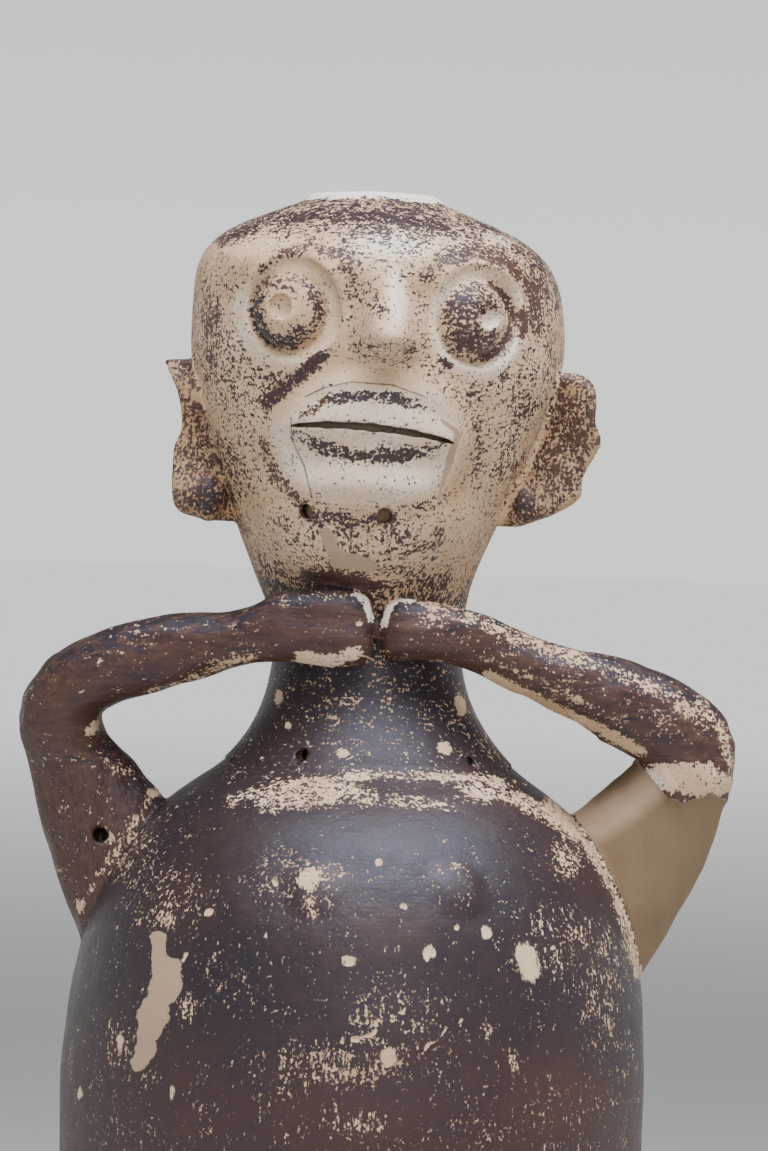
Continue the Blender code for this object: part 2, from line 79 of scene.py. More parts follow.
turnedForm = {
    "baseRadius": 0.043,
    "baseRounding": 0.003,
    "bellyRadius": 0.0935,
    "bellyHeight": 0.158,
    "shoulderRise": 0.104,
    "shoulderRadius": 0.0524,
    "neckRise": 0.043,
    "waistRadius": 0.0299,
    "faceRise": 0.097,
    "templeRadius": 0.0598,
    "crownRise": 0.0448,
    "crownRadius": 0.0222,
    "lipHeight": 0.0026,
    "lipSlope": 0.0054,
    "mouthRadius": 0.0155,
    "wall": 0.006,
    "floor": 0.009,
    "steps": 240,          # faces around the wheel
    "crownTilt": -0.046,
    "farTilt": -0.90,
    "voxel": 0.00095,      # the luted joints are closed up at this size
    "smoothing": 5,
    "triangles": 176000,
}
neckRoot = turnedForm["bellyHeight"] + turnedForm["shoulderRise"]
waist = neckRoot + turnedForm["neckRise"]
temple = waist + turnedForm["faceRise"]
crown = temple + turnedForm["crownRise"]
headHeight = crown - waist
templeRadius = turnedForm["templeRadius"]

swayHeights = np.array([0.0, turnedForm["bellyHeight"], neckRoot, waist,
                        waist + 0.25 * turnedForm["faceRise"], temple, crown])
swayShifts = np.array([0.0, -0.0007, 0.0015, -0.0004, -0.0024, -0.0001, -0.0030])


def ease(share):
    share = np.clip(share, 0.0, 1.0)
    return share * share * (3 - 2 * share)


def bezier(start, lead, follow, end, steps):
    t = np.linspace(0, 1, steps + 1)[1:, None]
    corners = [np.array(corner) for corner in (start, lead, follow, end)]
    return ((1 - t) ** 3 * corners[0] + 3 * t * (1 - t) ** 2 * corners[1]
            + 3 * t * t * (1 - t) * corners[2] + t ** 3 * corners[3])


def outline(crownSteps, faceSteps, neckSteps, shoulderSteps, baseSteps):
    # Radius and height from the crown down to the edge of the base.
    form = turnedForm
    top = (form["crownRadius"], crown)
    side = (templeRadius, temple)
    narrow = (form["waistRadius"], waist)
    root = (form["shoulderRadius"], neckRoot)
    belly = (form["bellyRadius"], form["bellyHeight"])
    base = (form["baseRadius"], form["baseRounding"])
    rows = [np.array([top])]
    rows.append(bezier(top, (top[0] + 0.76 * (side[0] - top[0]), crown - 0.21 * form["crownRise"]),
                       (side[0], temple + 0.71 * form["crownRise"]), side, crownSteps))
    rows.append(bezier(side, (side[0], temple - 0.31 * form["faceRise"]),
                       (narrow[0], waist + 0.23 * form["faceRise"]), narrow, faceSteps))
    rows.append(bezier(narrow, (narrow[0], waist - 0.35 * form["neckRise"]),
                       (root[0] - 0.64 * (root[0] - narrow[0]), neckRoot + 0.21 * form["neckRise"]),
                       root, neckSteps))
    shoulder = form["shoulderRise"]
    rows.append(bezier(root, (root[0] + 0.68 * (belly[0] - root[0]), neckRoot - 0.168 * shoulder),
                       (belly[0], belly[1] + 0.56 * shoulder), belly, shoulderSteps))
    rows.append(bezier(belly, (belly[0], 0.50 * belly[1]),
                       (base[0] + 0.48 * (belly[0] - base[0]), 0.13 * belly[1]), base, baseSteps))
    return np.vstack(rows)


fineOutline = outline(100, 120, 60, 100, 100)[::-1]


def radiusAt(height):
    return np.interp(height, fineOutline[:, 1], fineOutline[:, 0])


def sway(height):
    shift = np.full(np.shape(height), swayShifts[0])
    for low, high, first, second in zip(swayHeights, swayHeights[1:], swayShifts, swayShifts[1:]):
        shift = np.where(height > low, first + (second - first) * ease((height - low) / (high - low)), shift)
    return shift


def crownDrop(x, height):
    tilt = turnedForm["crownTilt"] * np.where(x > 0, 1.0, turnedForm["farTilt"])
    start = temple + 0.4 * turnedForm["crownRise"]
    return tilt * ease((height - start) / (0.6 * turnedForm["crownRise"])) * x


def headAt(share):
    return waist + share * headHeight


face = {
    "jaw": {"x": -0.03, "height": 0.285, "width": 0.66, "reach": 0.175, "rise": 0.0085, "soft": 0.60},
    "muzzle": {"x": -0.01, "height": 0.472, "width": 0.62, "reach": 0.175, "rise": 0.0032, "soft": 0.35},
    "nose": {"x": 0.045, "root": 0.862, "tip": 0.690, "foot": 0.628, "width": 0.205, "rise": 0.0130,
             "bulb": (0.0036, 0.686, 0.0076, 0.0070, 0.0046)},
    "brow": {"height": 0.845, "reach": 0.052, "width": 0.90, "rise": 0.0030},
    "lips": {"height": 0.490, "width": 0.43, "upper": 0.078, "lower": 0.088, "rise": 0.0044},
    "slitSlope": -0.075,
    "slitArch": -3.5,
    "frontness": 1.6,      # how soon the relief is full on the way from the sides to the front
}


def mound(spot, x, height):
    across = (x / templeRadius - spot["x"]) / spot["width"]
    along = (height - headAt(spot["height"])) / (spot["reach"] * headHeight)
    return ease((1 - np.hypot(across, along)) / spot["soft"])


def broadRelief(x, height):
    jaw = face["jaw"]["rise"] * mound(face["jaw"], x, height)
    return jaw + face["muzzle"]["rise"] * mound(face["muzzle"], x, height)


def noseRelief(x, height):
    nose = face["nose"]
    share = (height - waist) / headHeight
    down = ease((nose["root"] - share) / (nose["root"] - nose["tip"]))
    under = ease((share - nose["foot"]) / (nose["tip"] - nose["foot"]))
    rise = np.where(share > nose["tip"], down ** 0.8, under ** 0.6)
    across = np.abs(x / templeRadius - nose["x"]) / (nose["width"] * (0.55 + 0.45 * down))
    bridge = nose["rise"] * rise * np.maximum(np.cos(0.5 * np.pi * np.minimum(across, 1.0)), 0.0) ** 1.7
    tipX, tipShare, tipWide, tipHigh, tipRise = nose["bulb"]
    gap = np.hypot((x - tipX) / tipWide, (height - headAt(tipShare)) / tipHigh)
    return bridge + tipRise * ease((1 - gap) / 0.8)


def browRelief(x, height):
    brow = face["brow"]
    along = (height - headAt(brow["height"])) / (brow["reach"] * headHeight)
    across = np.abs(x) / (brow["width"] * templeRadius)
    return brow["rise"] * np.exp(-along * along) * ease((1 - across) / 0.3)


def slitHeight(x):
    return headAt(face["lips"]["height"]) + face["slitSlope"] * x + face["slitArch"] * x * x


def lipRelief(x, height):
    lips = face["lips"]
    across = np.clip(x / (lips["width"] * templeRadius), -1, 1)
    gap = height - slitHeight(x)
    reach = np.where(gap > 0, lips["upper"], lips["lower"]) * headHeight * (1 - across ** 2) ** 0.6
    along = np.minimum(np.abs(gap) / np.maximum(reach, 1e-5), 1.0)
    return lips["rise"] * (1 - along ** 1.4) * (1 - across ** 4)


def faceRelief(x, height):
    return broadRelief(x, height) + noseRelief(x, height) + browRelief(x, height) + lipRelief(x, height)


def direction(azimuth):
    angle = math.radians(azimuth)
    return Vector((math.sin(angle), -math.cos(angle), 0.0))


def surfacePoint(azimuth, height, relief=broadRelief):
    out = direction(azimuth)
    radius = float(radiusAt(height))
    rise = float(relief(out.x * radius, height)) if out.y < 0 else 0.0
    point = out * (radius + rise) + Vector((0, 0, height))
    return point + Vector((float(sway(height)), 0, float(crownDrop(point.x, height))))


def placeAxes(across, upward, out, place):
    placed = Matrix((across, upward, out)).transposed().to_4x4()
    placed.translation = place
    return placed


def aimZ(way, place, axis="Z"):
    placed = way.to_track_quat(axis, "Y").to_matrix().to_4x4()
    placed.translation = place
    return placed


def surfaceFrame(azimuth, height, facing=None):
    # Z points straight out of the wall, or faces an azimuth.
    upward = surfacePoint(azimuth, height + 0.002) - surfacePoint(azimuth, height - 0.002)
    across = surfacePoint(azimuth + 1, height) - surfacePoint(azimuth - 1, height)
    normal = across.cross(upward).normalized()
    if facing is not None:
        normal = Matrix.Rotation(math.radians(facing - azimuth), 3, "Z") @ normal
    side = upward.cross(normal).normalized()
    return placeAxes(side, normal.cross(side), normal, surfacePoint(azimuth, height))


def getPoints(mesh):
    points = np.empty(len(mesh.vertices) * 3)
    mesh.vertices.foreach_get("co", points)
    return points.reshape(-1, 3)


def getNormals(mesh):
    normals = np.empty(len(mesh.vertices) * 3)
    mesh.vertex_normals.foreach_get("vector", normals)
    return normals.reshape(-1, 3)


def setPoints(mesh, points):
    mesh.vertices.foreach_set("co", points.reshape(-1))
    mesh.update()


def makePiece(name, shape):
    mesh = bpy.data.meshes.new(name)
    shape.to_mesh(mesh)
    shape.free()
    piece = bpy.data.objects.new(name, mesh)
    bpy.context.scene.collection.objects.link(piece)
    return piece


def spinProfile(name, profile, steps):
    # A form turned on the wheel, from the radii and heights of its profile.
    shape = bmesh.new()
    verts = [shape.verts.new((radius, 0.0, height)) for radius, height in profile]
    edges = [shape.edges.new(pair) for pair in zip(verts, verts[1:])]
    bmesh.ops.spin(shape, geom=verts + edges, axis=(0, 0, 1), cent=(0, 0, 0), steps=steps,
                   angle=2 * math.pi, use_merge=True)
    bmesh.ops.remove_doubles(shape, verts=shape.verts, dist=0.00002)
    bmesh.ops.recalc_face_normals(shape, faces=shape.faces)
    return makePiece(name, shape)


def applyModifiers(piece):
    bpy.context.view_layer.update()
    graph = bpy.context.evaluated_depsgraph_get()
    mesh = bpy.data.meshes.new_from_object(piece.evaluated_get(graph))
    piece.modifiers.clear()
    piece.data = mesh
    return piece


# Eyes: a shallow socket, and in it a domed boss with a pierced pupil.

eyes = [
    {"side": "left", "socket": -27.0, "boss": -28.0, "pupil": -29.5, "facing": -17.0, "height": 0.747},
    {"side": "right", "socket": 32.5, "boss": 30.5, "pupil": 33.5, "facing": 31.0, "height": 0.741},
]
eyeForm = {
    "socketRadius": 0.0168,
    "socketDepth": 0.0030,
    "bossRadius": 0.0124,
    "bossRise": 0.0048,
    "pupilRadius": 0.0042,
    "pupilDepth": 0.0046,
    "socketRim": 0.0008,
    "keel": 0.0046,        # how deep a boss goes into the wall
}


def eyeCentre(eye, part):
    return surfaceFrame(eye[part], float(headAt(eye["height"])), eye["facing"])


def inFrame(points, placed):
    turn = np.array(placed.to_3x3())
    return (points - np.array(placed.translation)) @ turn


def buildWall():
    # The turned form, still solid, with the face pressed out and the eye sockets pressed in.
    form = turnedForm
    outer = outline(44, 84, 30, 48, 56)
    top = crown + form["lipHeight"]
    profile = [(0.0, top)]
    for angle in np.linspace(0, 0.45 * math.pi, 5):
        profile.append((form["crownRadius"] - form["lipSlope"] * (1 - math.sin(angle)),
                        crown + form["lipHeight"] * math.cos(angle)))
    profile += [tuple(point) for point in outer]
    profile += [(form["baseRadius"] - form["baseRounding"], 0.0), (0.0, 0.0)]
    piece = spinProfile("wall", profile, form["steps"])
    points = getPoints(piece.data)
    x, y, height = points.T
    reach = np.hypot(x, y)
    outside = (reach > radiusAt(height) - 0.0015) & (height <= crown + 1e-6) & (height > 0.004)
    outX, outY = x / np.maximum(reach, 1e-6), y / np.maximum(reach, 1e-6)
    rise = np.where(outside, faceRelief(outX * reach, height), 0.0) * ease(face["frontness"] * -outY)
    points[:, 0] += outX * rise
    points[:, 1] += outY * rise
    drop = crownDrop(points[:, 0], points[:, 2])
    points[:, 0] += sway(points[:, 2])
    points[:, 2] += drop
    for eye in eyes:
        placed = eyeCentre(eye, "socket")
        local = inFrame(points, placed)
        near = np.hypot(local[:, 0], local[:, 1]) / eyeForm["socketRadius"]
        hollow = ease((1 - near) / 0.18) * eyeForm["socketDepth"]
        rim = eyeForm["socketRim"] * np.exp(-((near - 1.03) / 0.05) ** 2)
        move = np.where(outside & (local[:, 2] > -0.012), rim - hollow, 0.0)
        points += move[:, None] * np.array(placed.to_3x3().col[2])
    setPoints(piece.data, points)
    return piece


def buildBoss(eye):
    placed = eyeCentre(eye, "boss")
    radius = eyeForm["bossRadius"]
    shape = bmesh.new()
    lift = Matrix.Translation((0, 0, -eyeForm["socketDepth"]))
    size = Matrix.Diagonal((radius, radius, eyeForm["bossRise"] + eyeForm["socketDepth"], 1.0))
    bmesh.ops.create_uvsphere(shape, u_segments=64, v_segments=32, radius=1.0, matrix=lift @ size)
    for vert in shape.verts:
        vert.co.z = max(vert.co.z, -eyeForm["keel"])
    bmesh.ops.transform(shape, matrix=placed, verts=shape.verts)
    return makePiece("boss " + eye["side"], shape)


# Arms: reach in belly radii, height in neck rises above the neck's root, width in metres,
# lean in degrees, how far forward, and depth in upper-arm depths (None for the hand's own).

armForm = {
    "depth": 0.026,
    "handDepth": 0.015,
    "handSink": 0.003,
    "sides": 36,
    "ringsPerSpan": 6,
    "left": [
        (0.80, -1.15, 0.030, 16, 0.00, 1.25),
        (0.845, -0.62, 0.042, 10, 0.00, 1.15),
        (0.935, -0.20, 0.036, 4, 0.05, 1.08),
        (1.015, 0.14, 0.0265, 0, 0.10, 1.00),
        (1.043, 0.44, 0.0260, 0, 0.20, 0.96),
        (0.968, 0.66, 0.0240, 0, 0.30, 0.90),
        (0.81, 0.825, 0.0240, 0, 0.45, 0.82),
        (0.64, 0.935, 0.0225, 0, 0.60, 0.74),
        (0.45, 1.03, 0.0175, 0, 0.78, 0.66),
        (0.257, 1.140, 0.0225, 0, 0.96, None),
        (0.102, 1.145, 0.0245, 0, 1.00, None),
        (0.010, 1.140, 0.0195, 0, 1.00, 0.46),
        (-0.013, 1.140, 0.0080, 0, 1.00, 0.25),
    ],
    "right": [
        (0.80, -0.92, 0.058, 24, 0.00, 1.25),
        (0.945, -0.50, 0.046, 14, 0.00, 1.18),
        (1.035, -0.18, 0.037, 6, 0.00, 1.12),
        (1.09, 0.12, 0.0310, 0, 0.08, 1.08),
        (1.085, 0.360, 0.0300, 0, 0.16, 1.04),
        (1.005, 0.510, 0.0290, 0, 0.26, 0.98),
        (0.900, 0.605, 0.0272, 0, 0.36, 0.90),
        (0.749, 0.745, 0.0227, 0, 0.50, 0.80),
        (0.535, 0.900, 0.0186, 0, 0.68, 0.68),
        (0.364, 1.058, 0.0175, 0, 0.86, 0.60),
        (0.214, 1.140, 0.0190, 0, 1.00, None),
        (0.112, 1.142, 0.0195, 0, 1.00, None),
        (0.060, 1.140, 0.0150, 0, 1.00, 0.42),
        (0.038, 1.140, 0.0070, 0, 1.00, 0.22),
    ],
}


def smoothThrough(rows, perSpan):
    # A smooth curve through rows of numbers.
    rows = np.array(rows, dtype=float)
    padded = np.vstack((2 * rows[0] - rows[1], rows, 2 * rows[-1] - rows[-2]))
    out = []
    for a, b, c, d in zip(padded, padded[1:], padded[2:], padded[3:]):
        for step in range(perSpan):
            t = step / perSpan
            out.append(0.5 * (2 * b + (c - a) * t + (2 * a - 5 * b + 4 * c - d) * t * t
                              + (3 * b - a - 3 * c + d) * t ** 3))
    out.append(rows[-1])
    return np.array(out)


def loft(name, rings, sides):
    shape = bmesh.new()
    loops = []
    for index, ring in enumerate(rings):
        end = index in (0, len(rings) - 1)
        made = bmesh.ops.create_circle(shape, segments=sides, radius=1.0, cap_ends=end, matrix=ring)
        loops.append(list({edge for vert in made["verts"] for edge in vert.link_edges}))
    for first, second in zip(loops, loops[1:]):
        bmesh.ops.bridge_loops(shape, edges=first + second)
    bmesh.ops.recalc_face_normals(shape, faces=shape.faces)
    return makePiece(name, shape)


armRows = {}


def buildArm(sideName, side):
    form = armForm
    forward = turnedForm["waistRadius"] + 0.5 * form["handDepth"] - form["handSink"]
    rows = []
    for reach, rise, width, lean, front, depth in form[sideName]:
        thickness = form["handDepth"] if depth is None else depth * form["depth"]
        rows.append((side * reach * turnedForm["bellyRadius"], -front * forward,
                     neckRoot + rise * turnedForm["neckRise"], width, lean * side, thickness))
    rows = smoothThrough(rows, form["ringsPerSpan"])
    armRows[sideName] = rows
    runs = np.gradient(rows[:, :3], axis=0)
    rings = []
    for row, run in zip(rows, runs):
        run = Vector(run).normalized()
        across = run.cross(Vector((0, 1, 0))).normalized()
        across = Matrix.Rotation(math.radians(row[4]), 3, "Y") @ across
        through = across.cross(run).normalized()
        width, thickness = max(row[3], 0.002), max(row[5], 0.002)
        rings.append(placeAxes(across * width / 2, through * thickness / 2,
                               across.cross(through).normalized(), Vector(row[:3])))
    piece = loft("arm " + sideName, rings, form["sides"])
    points = getPoints(piece.data)
    low = points[:, 2] < neckRoot - 0.004
    reach = np.hypot(points[:, 0], points[:, 1])
    floorReach = radiusAt(points[:, 2]) - 0.6 * turnedForm["wall"]
    push = np.where(low & (reach < floorReach), floorReach / np.maximum(reach, 1e-6), 1.0)
    points[:, :2] *= push[:, None]
    setPoints(piece.data, points)
    return piece


# Ears: thin shells that stand out from the sides of the head. Each row is its height on the head,
# its outer edge in temple radii, how far its edge curls forward, and its thickness.

earForm = {
    "sink": 0.0045,        # how deep an ear is luted into the head
    "left": {"azimuth": -80.0, "rows": [
        (0.268, 0.86, 0.000, 0.006),
        (0.288, 1.02, 0.002, 0.009),
        (0.330, 1.065, 0.003, 0.012),
        (0.385, 1.075, 0.002, 0.007),
        (0.430, 1.075, 0.002, 0.005),
        (0.480, 1.045, 0.003, 0.0045),
        (0.540, 1.070, 0.004, 0.006),
        (0.590, 1.125, 0.003, 0.005),
        (0.628, 1.160, 0.001, 0.003)]},
    "right": {"azimuth": 77.0, "rows": [
        (0.275, 0.84, 0.000, 0.006),
        (0.305, 1.02, 0.001, 0.010),
        (0.345, 1.165, 0.002, 0.008),
        (0.400, 1.185, 0.003, 0.0055),
        (0.465, 1.265, 0.004, 0.0045),
        (0.520, 1.230, 0.005, 0.0045),
        (0.580, 1.220, 0.004, 0.0045),
        (0.612, 1.150, 0.002, 0.004)]},
}


earLumps = {
    "left": {"lobe": ((209, 496), (0.0052, 0.0060, 0.0082)),
             "fold": [(173, 369, 0.0014), (181, 378, 0.0030), (191, 390, 0.0036), (200, 402, 0.0036),
                      (203, 413, 0.0026)]},
    "right": {"lobe": ((523, 503), (0.0046, 0.0056, 0.0066)),
              "fold": [(549, 394, 0.0024), (557, 385, 0.0030), (570, 381, 0.0030), (583, 383, 0.0024),
                       (593, 394, 0.0016)]},
}


def buildEarLumps(sideName):
    # A thick lobe and the rolled upper edge.
    form = earLumps[sideName]
    (u, v), size = form["lobe"]
    shape = bmesh.new()
    placed = Matrix.Translation(fromPhoto(u, v, -0.0115)) @ Matrix.Diagonal((*size, 1.0))
    bmesh.ops.create_uvsphere(shape, u_segments=28, v_segments=16, radius=1.0, matrix=placed)
    lobe = makePiece("lobe " + sideName, shape)
    rings = []
    path = smoothThrough([(*fromPhoto(u, v, -0.0125), radius) for u, v, radius in form["fold"]], 5)
    for row, run in zip(path, np.gradient(path[:, :3], axis=0)):
        radius = max(row[3], 0.0008)
        rings.append(aimZ(Vector(run), Vector(row[:3])) @ Matrix.Diagonal((radius, radius, 1, 1)))
    return [lobe, loft("fold " + sideName, rings, 20)]


def buildEar(sideName):
    ear = earForm[sideName]
    out = direction(ear["azimuth"])
    along = Vector((-out.y, out.x, 0.0))
    forward = along if along.y < 0 else -along
    rings = []
    for share, edge, curl, thickness in smoothThrough(ear["rows"], 5):
        height = float(headAt(share))
        inner = float(radiusAt(height)) - earForm["sink"]
        outer = edge * templeRadius
        middle = out * (outer + inner) / 2 + Vector((float(sway(height)), 0, height))
        rings.append(placeAxes(out * (outer - inner) / 2 + forward * curl,
                               forward * max(thickness, 0.002) / 2, Vector((0, 0, 1)), middle))
    return loft("ear " + sideName, rings, 28)


def joinPieces(pieces, name):
    shape = bmesh.new()
    for piece in pieces:
        shape.from_mesh(piece.data)
        bpy.data.objects.remove(piece)
    return makePiece(name, shape)


def closeUp(piece):
    remesh = piece.modifiers.new("luting", "REMESH")
    remesh.mode = "VOXEL"
    remesh.voxel_size = turnedForm["voxel"]
    smooth = piece.modifiers.new("wet finger", "SMOOTH")
    smooth.factor = 0.5
    smooth.iterations = turnedForm["smoothing"]
    return applyModifiers(piece)


def thin(piece, target):
    count = sum(len(polygon.vertices) - 2 for polygon in piece.data.polygons)
    modifier = piece.modifiers.new("thin", "DECIMATE")
    modifier.ratio = min(1.0, target / count)
    return applyModifiers(piece)


def lumps(points, size, seed):
    # Smooth noise from -1 to 1 with bumps of about one size.
    shift = Vector((seed * 7.3, seed * 3.1, seed * 5.7))
    return np.array([noise.noise(Vector(point) / size + shift) for point in points])


def ovalGap(u, v, centreU, centreV, reachU, reachV, turn):
    # 0 in the middle of an oval of the photograph and 1 on its edge.
    angle = math.radians(turn)
    along = (u - centreU) * math.cos(angle) + (v - centreV) * math.sin(angle)
    across = (v - centreV) * math.cos(angle) - (u - centreU) * math.sin(angle)
    return np.hypot(along / reachU, across / reachV)


def lineGap(u, v, start, end):
    # Pixels from a line of the photograph.
    runU, runV = end[0] - start[0], end[1] - start[1]
    share = np.clip(((u - start[0]) * runU + (v - start[1]) * runV) / (runU ** 2 + runV ** 2), 0, 1)
    return np.hypot(u - start[0] - share * runU, v - start[1] - share * runV)


# Worn paint, and among the marks painted shade and highlights. Each mark is placed on the photograph, fades
# over its softness,
# and names the fields it sets. slip: how much dark slip is left. rust: how brown it is. wash: how white the
# clay is.

def blot(centreU, centreV, reachU, reachV, turn=0, soft=0.8, **values):
    def weight(u, v):
        return ease((1 - ovalGap(u, v, centreU, centreV, reachU, reachV, turn)) / soft)
    return weight, values


def stroke(points, width, soft=0.8, **values):
    def weight(u, v):
        gaps = [lineGap(u, v, start, end) for start, end in zip(points, points[1:])]
        return ease((1 - np.min(gaps, axis=0) / width) / soft)
    return weight, values


def ring(centreU, centreV, reachU, reachV, half, fromAngle=0, toAngle=360, **values):
    def weight(u, v):
        angle = np.degrees(np.arctan2(centreV - v, u - centreU)) % 360
        away = np.abs(ovalGap(u, v, centreU, centreV, reachU, reachV, 0) - 1) * min(reachU, reachV)
        turn = np.abs((angle - (fromAngle + toAngle) / 2 + 180) % 360 - 180)
        return ease((1 - away / half) / 0.6) * ease(((toAngle - fromAngle) / 2 - turn) / 12 + 0.5)
    return weight, values


faceWearAndShading = [
    stroke([(222, 238), (262, 215), (300, 206), (380, 204), (450, 213)], 15, 0.7, slip=0.70),
    stroke([(440, 215), (500, 233), (538, 262), (556, 300)], 18, 0.7, slip=0.66),
    blot(362, 229, 80, 11, 4, slip=0.44),
    blot(490, 246, 60, 17, 20, 0.7, slip=0.50),
    # Bare clay spot on the right forehead, also a painted highlight.
    blot(500, 240, 24, 7, 18, 0.7, slip=0.22),
    blot(256, 250, 50, 9, -5, 0.6, slip=0.06),
    blot(392, 248, 50, 14, slip=0.20),
    blot(390, 246, 75, 20, wash=0.75),
    # Painted shade on the left side of the nose, as slip.
    blot(352, 290, 16, 34, slip=0.38),
    blot(212, 335, 15, 80, slip=0.47),
    blot(232, 385, 24, 34, slip=0.40),
    blot(500, 384, 34, 16, slip=0.30),
    blot(526, 405, 26, 42, slip=0.42),
    blot(552, 330, 11, 66, slip=0.52),
    blot(236, 470, 22, 62, -22, slip=0.56),
    blot(506, 472, 24, 54, 18, slip=0.48),
    blot(360, 546, 82, 24, slip=0.34),
    blot(372, 568, 80, 12, slip=0.50),
    ring(288, 312, 47, 49, 12, slip=0.06, wash=0.58),
    # Painted shade: the next two rings darken the socket's edge on the nose side and the groove round the
    # boss.
    ring(288, 312, 54, 56, 3, 300, 430, soil=1.10),
    ring(288, 310, 38, 40, 4, soil=1.30),
    blot(284, 308, 32, 34, 0, 0.4, slip=0.30),
    ring(287, 309, 31, 33, 8, 110, 405, slip=0.74),
    ring(287, 309, 31, 33, 7, 45, 110, slip=0.58),
    ring(287, 309, 31, 33, 7, 45, 130, rust=0.65),
    ring(287, 309, 31, 33, 8, 130, 300, rust=0.10),
    blot(283, 308, 17, 17, 0, 0.5, slip=0.12),
    blot(283, 308, 15, 15, 0, 0.5, wash=0.85),
    blot(298, 329, 15, 7, -25, 0.7, slip=0.78),
    blot(286, 288, 14, 5, 0, 0.7, slip=0.58),
    ring(477, 322, 44, 50, 9, 20, 340, slip=0.08, wash=0.62),
    # Painted shade: the next two rings darken the socket's upper edge under the brow and the groove round
    # the boss.
    ring(478, 322, 51, 57, 3, 20, 200, soil=1.10),
    ring(477, 320, 39, 43, 4, soil=1.30),
    blot(474, 318, 36, 40, 0, 0.3, slip=0.64),
    blot(466, 303, 26, 20, 0, 0.7, rust=0.15),
    blot(502, 319, 10, 26, 0, 0.7, slip=0.24),
    ring(476, 319, 35, 39, 5, 270, 430, slip=0.78),
    ring(476, 319, 35, 39, 8, 180, 430, rust=0.70),
    blot(479, 346, 20, 11, 0, 0.7, slip=0.74),
    blot(490, 320, 13, 14, 0, 0.5, slip=0.08),
    blot(490, 320, 12, 13, 0, 0.5, wash=1.10),
    blot(523, 322, 8, 22, 0, 0.6, slip=0.90),
    blot(523, 322, 12, 26, 0, 0.6, rust=1.00),
    stroke([(437, 265), (449, 261), (462, 262)], 5, 0.6, slip=0.85),
    stroke([(262, 268), (285, 253), (315, 247), (345, 258), (353, 276)], 9, slip=0.68),
    stroke([(250, 280), (285, 255), (315, 247), (353, 272)], 16, rust=0.85),
    blot(247, 278, 14, 10, -40, slip=0.50),
    blot(345, 270, 9, 9, 30, slip=0.76),
    stroke([(427, 278), (441, 259), (478, 250), (511, 264), (533, 289), (538, 330)], 10, 0.7, slip=0.78),
    stroke([(480, 250), (511, 264), (533, 289), (538, 330)], 16, 0.7, rust=0.85),
    # Painted shade on the left side of the nose, as slip.
    blot(371, 298, 13, 22, 10, slip=0.52),
    # Bare clay along the nose ridge, painted whiter as its highlight.
    blot(397, 300, 11, 38, -5, 0.7, slip=0.02),
    blot(397, 296, 15, 38, -5, 0.7, wash=1.00),
    blot(421, 296, 11, 26, slip=0.35),
    blot(386, 334, 22, 15, 0, 0.6, slip=0.02),
    blot(411, 351, 13, 6, -22, 0.7, slip=0.70),
    blot(428, 345, 9, 16, slip=0.56),
    blot(358, 340, 7, 9, slip=0.42),
    blot(447, 364, 13, 7, 30, 0.7, slip=0.78),
    blot(478, 396, 13, 20, -20, slip=0.52),
    stroke([(321, 356), (296, 380), (268, 402)], 12, slip=0.98),
    stroke([(319, 357), (296, 380), (270, 400)], 12, 0.6, rust=0.45),
    stroke([(252, 371), (268, 377), (284, 371)], 4, 0.7, slip=0.52),
    stroke([(470, 395), (479, 425), (477, 470)], 9, slip=0.46),
    blot(368, 437, 105, 75, 0, 0.10, slip=0.03),
    blot(368, 440, 105, 75, 0, 0.20, wash=0.72),
    # Painted shade under the nose: the clay there is made tan instead of white.
    blot(390, 378, 50, 16, wash=0.30),
    stroke([(264, 444), (277, 479), (302, 505)], 8, 0.7, slip=0.62),
    stroke([(264, 444), (277, 479), (302, 505)], 14, 0.7, rust=0.75),
    stroke([(314, 517), (355, 522), (394, 518)], 8, 0.7, slip=0.74),
    stroke([(408, 515), (440, 503), (464, 484)], 9, 0.7, slip=0.40),
    stroke([(474, 480), (480, 450), (478, 428)], 5, 0.7, slip=0.64),
    stroke([(303, 415), (322, 402)], 10, slip=0.60),
    stroke([(303, 415), (322, 401)], 9, 0.7, rust=1.00),
    stroke([(328, 400), (354, 396), (394, 398), (414, 404)], 10, slip=0.86),
    stroke([(335, 397), (354, 395), (394, 397), (436, 418)], 9, 0.6, rust=0.20),
    stroke([(412, 402), (428, 410), (437, 421)], 5, 0.7, slip=0.52),
    stroke([(298, 436), (322, 447)], 10, slip=0.55),
    stroke([(318, 446), (354, 455), (391, 457), (427, 450)], 13, slip=0.84),
    stroke([(425, 451), (441, 444)], 6, 0.7, slip=0.62),
    blot(372, 506, 12, 8, slip=0.30),
    blot(437, 533, 9, 8, slip=0.76),
    blot(425, 545, 30, 9, -10, slip=0.52),
]
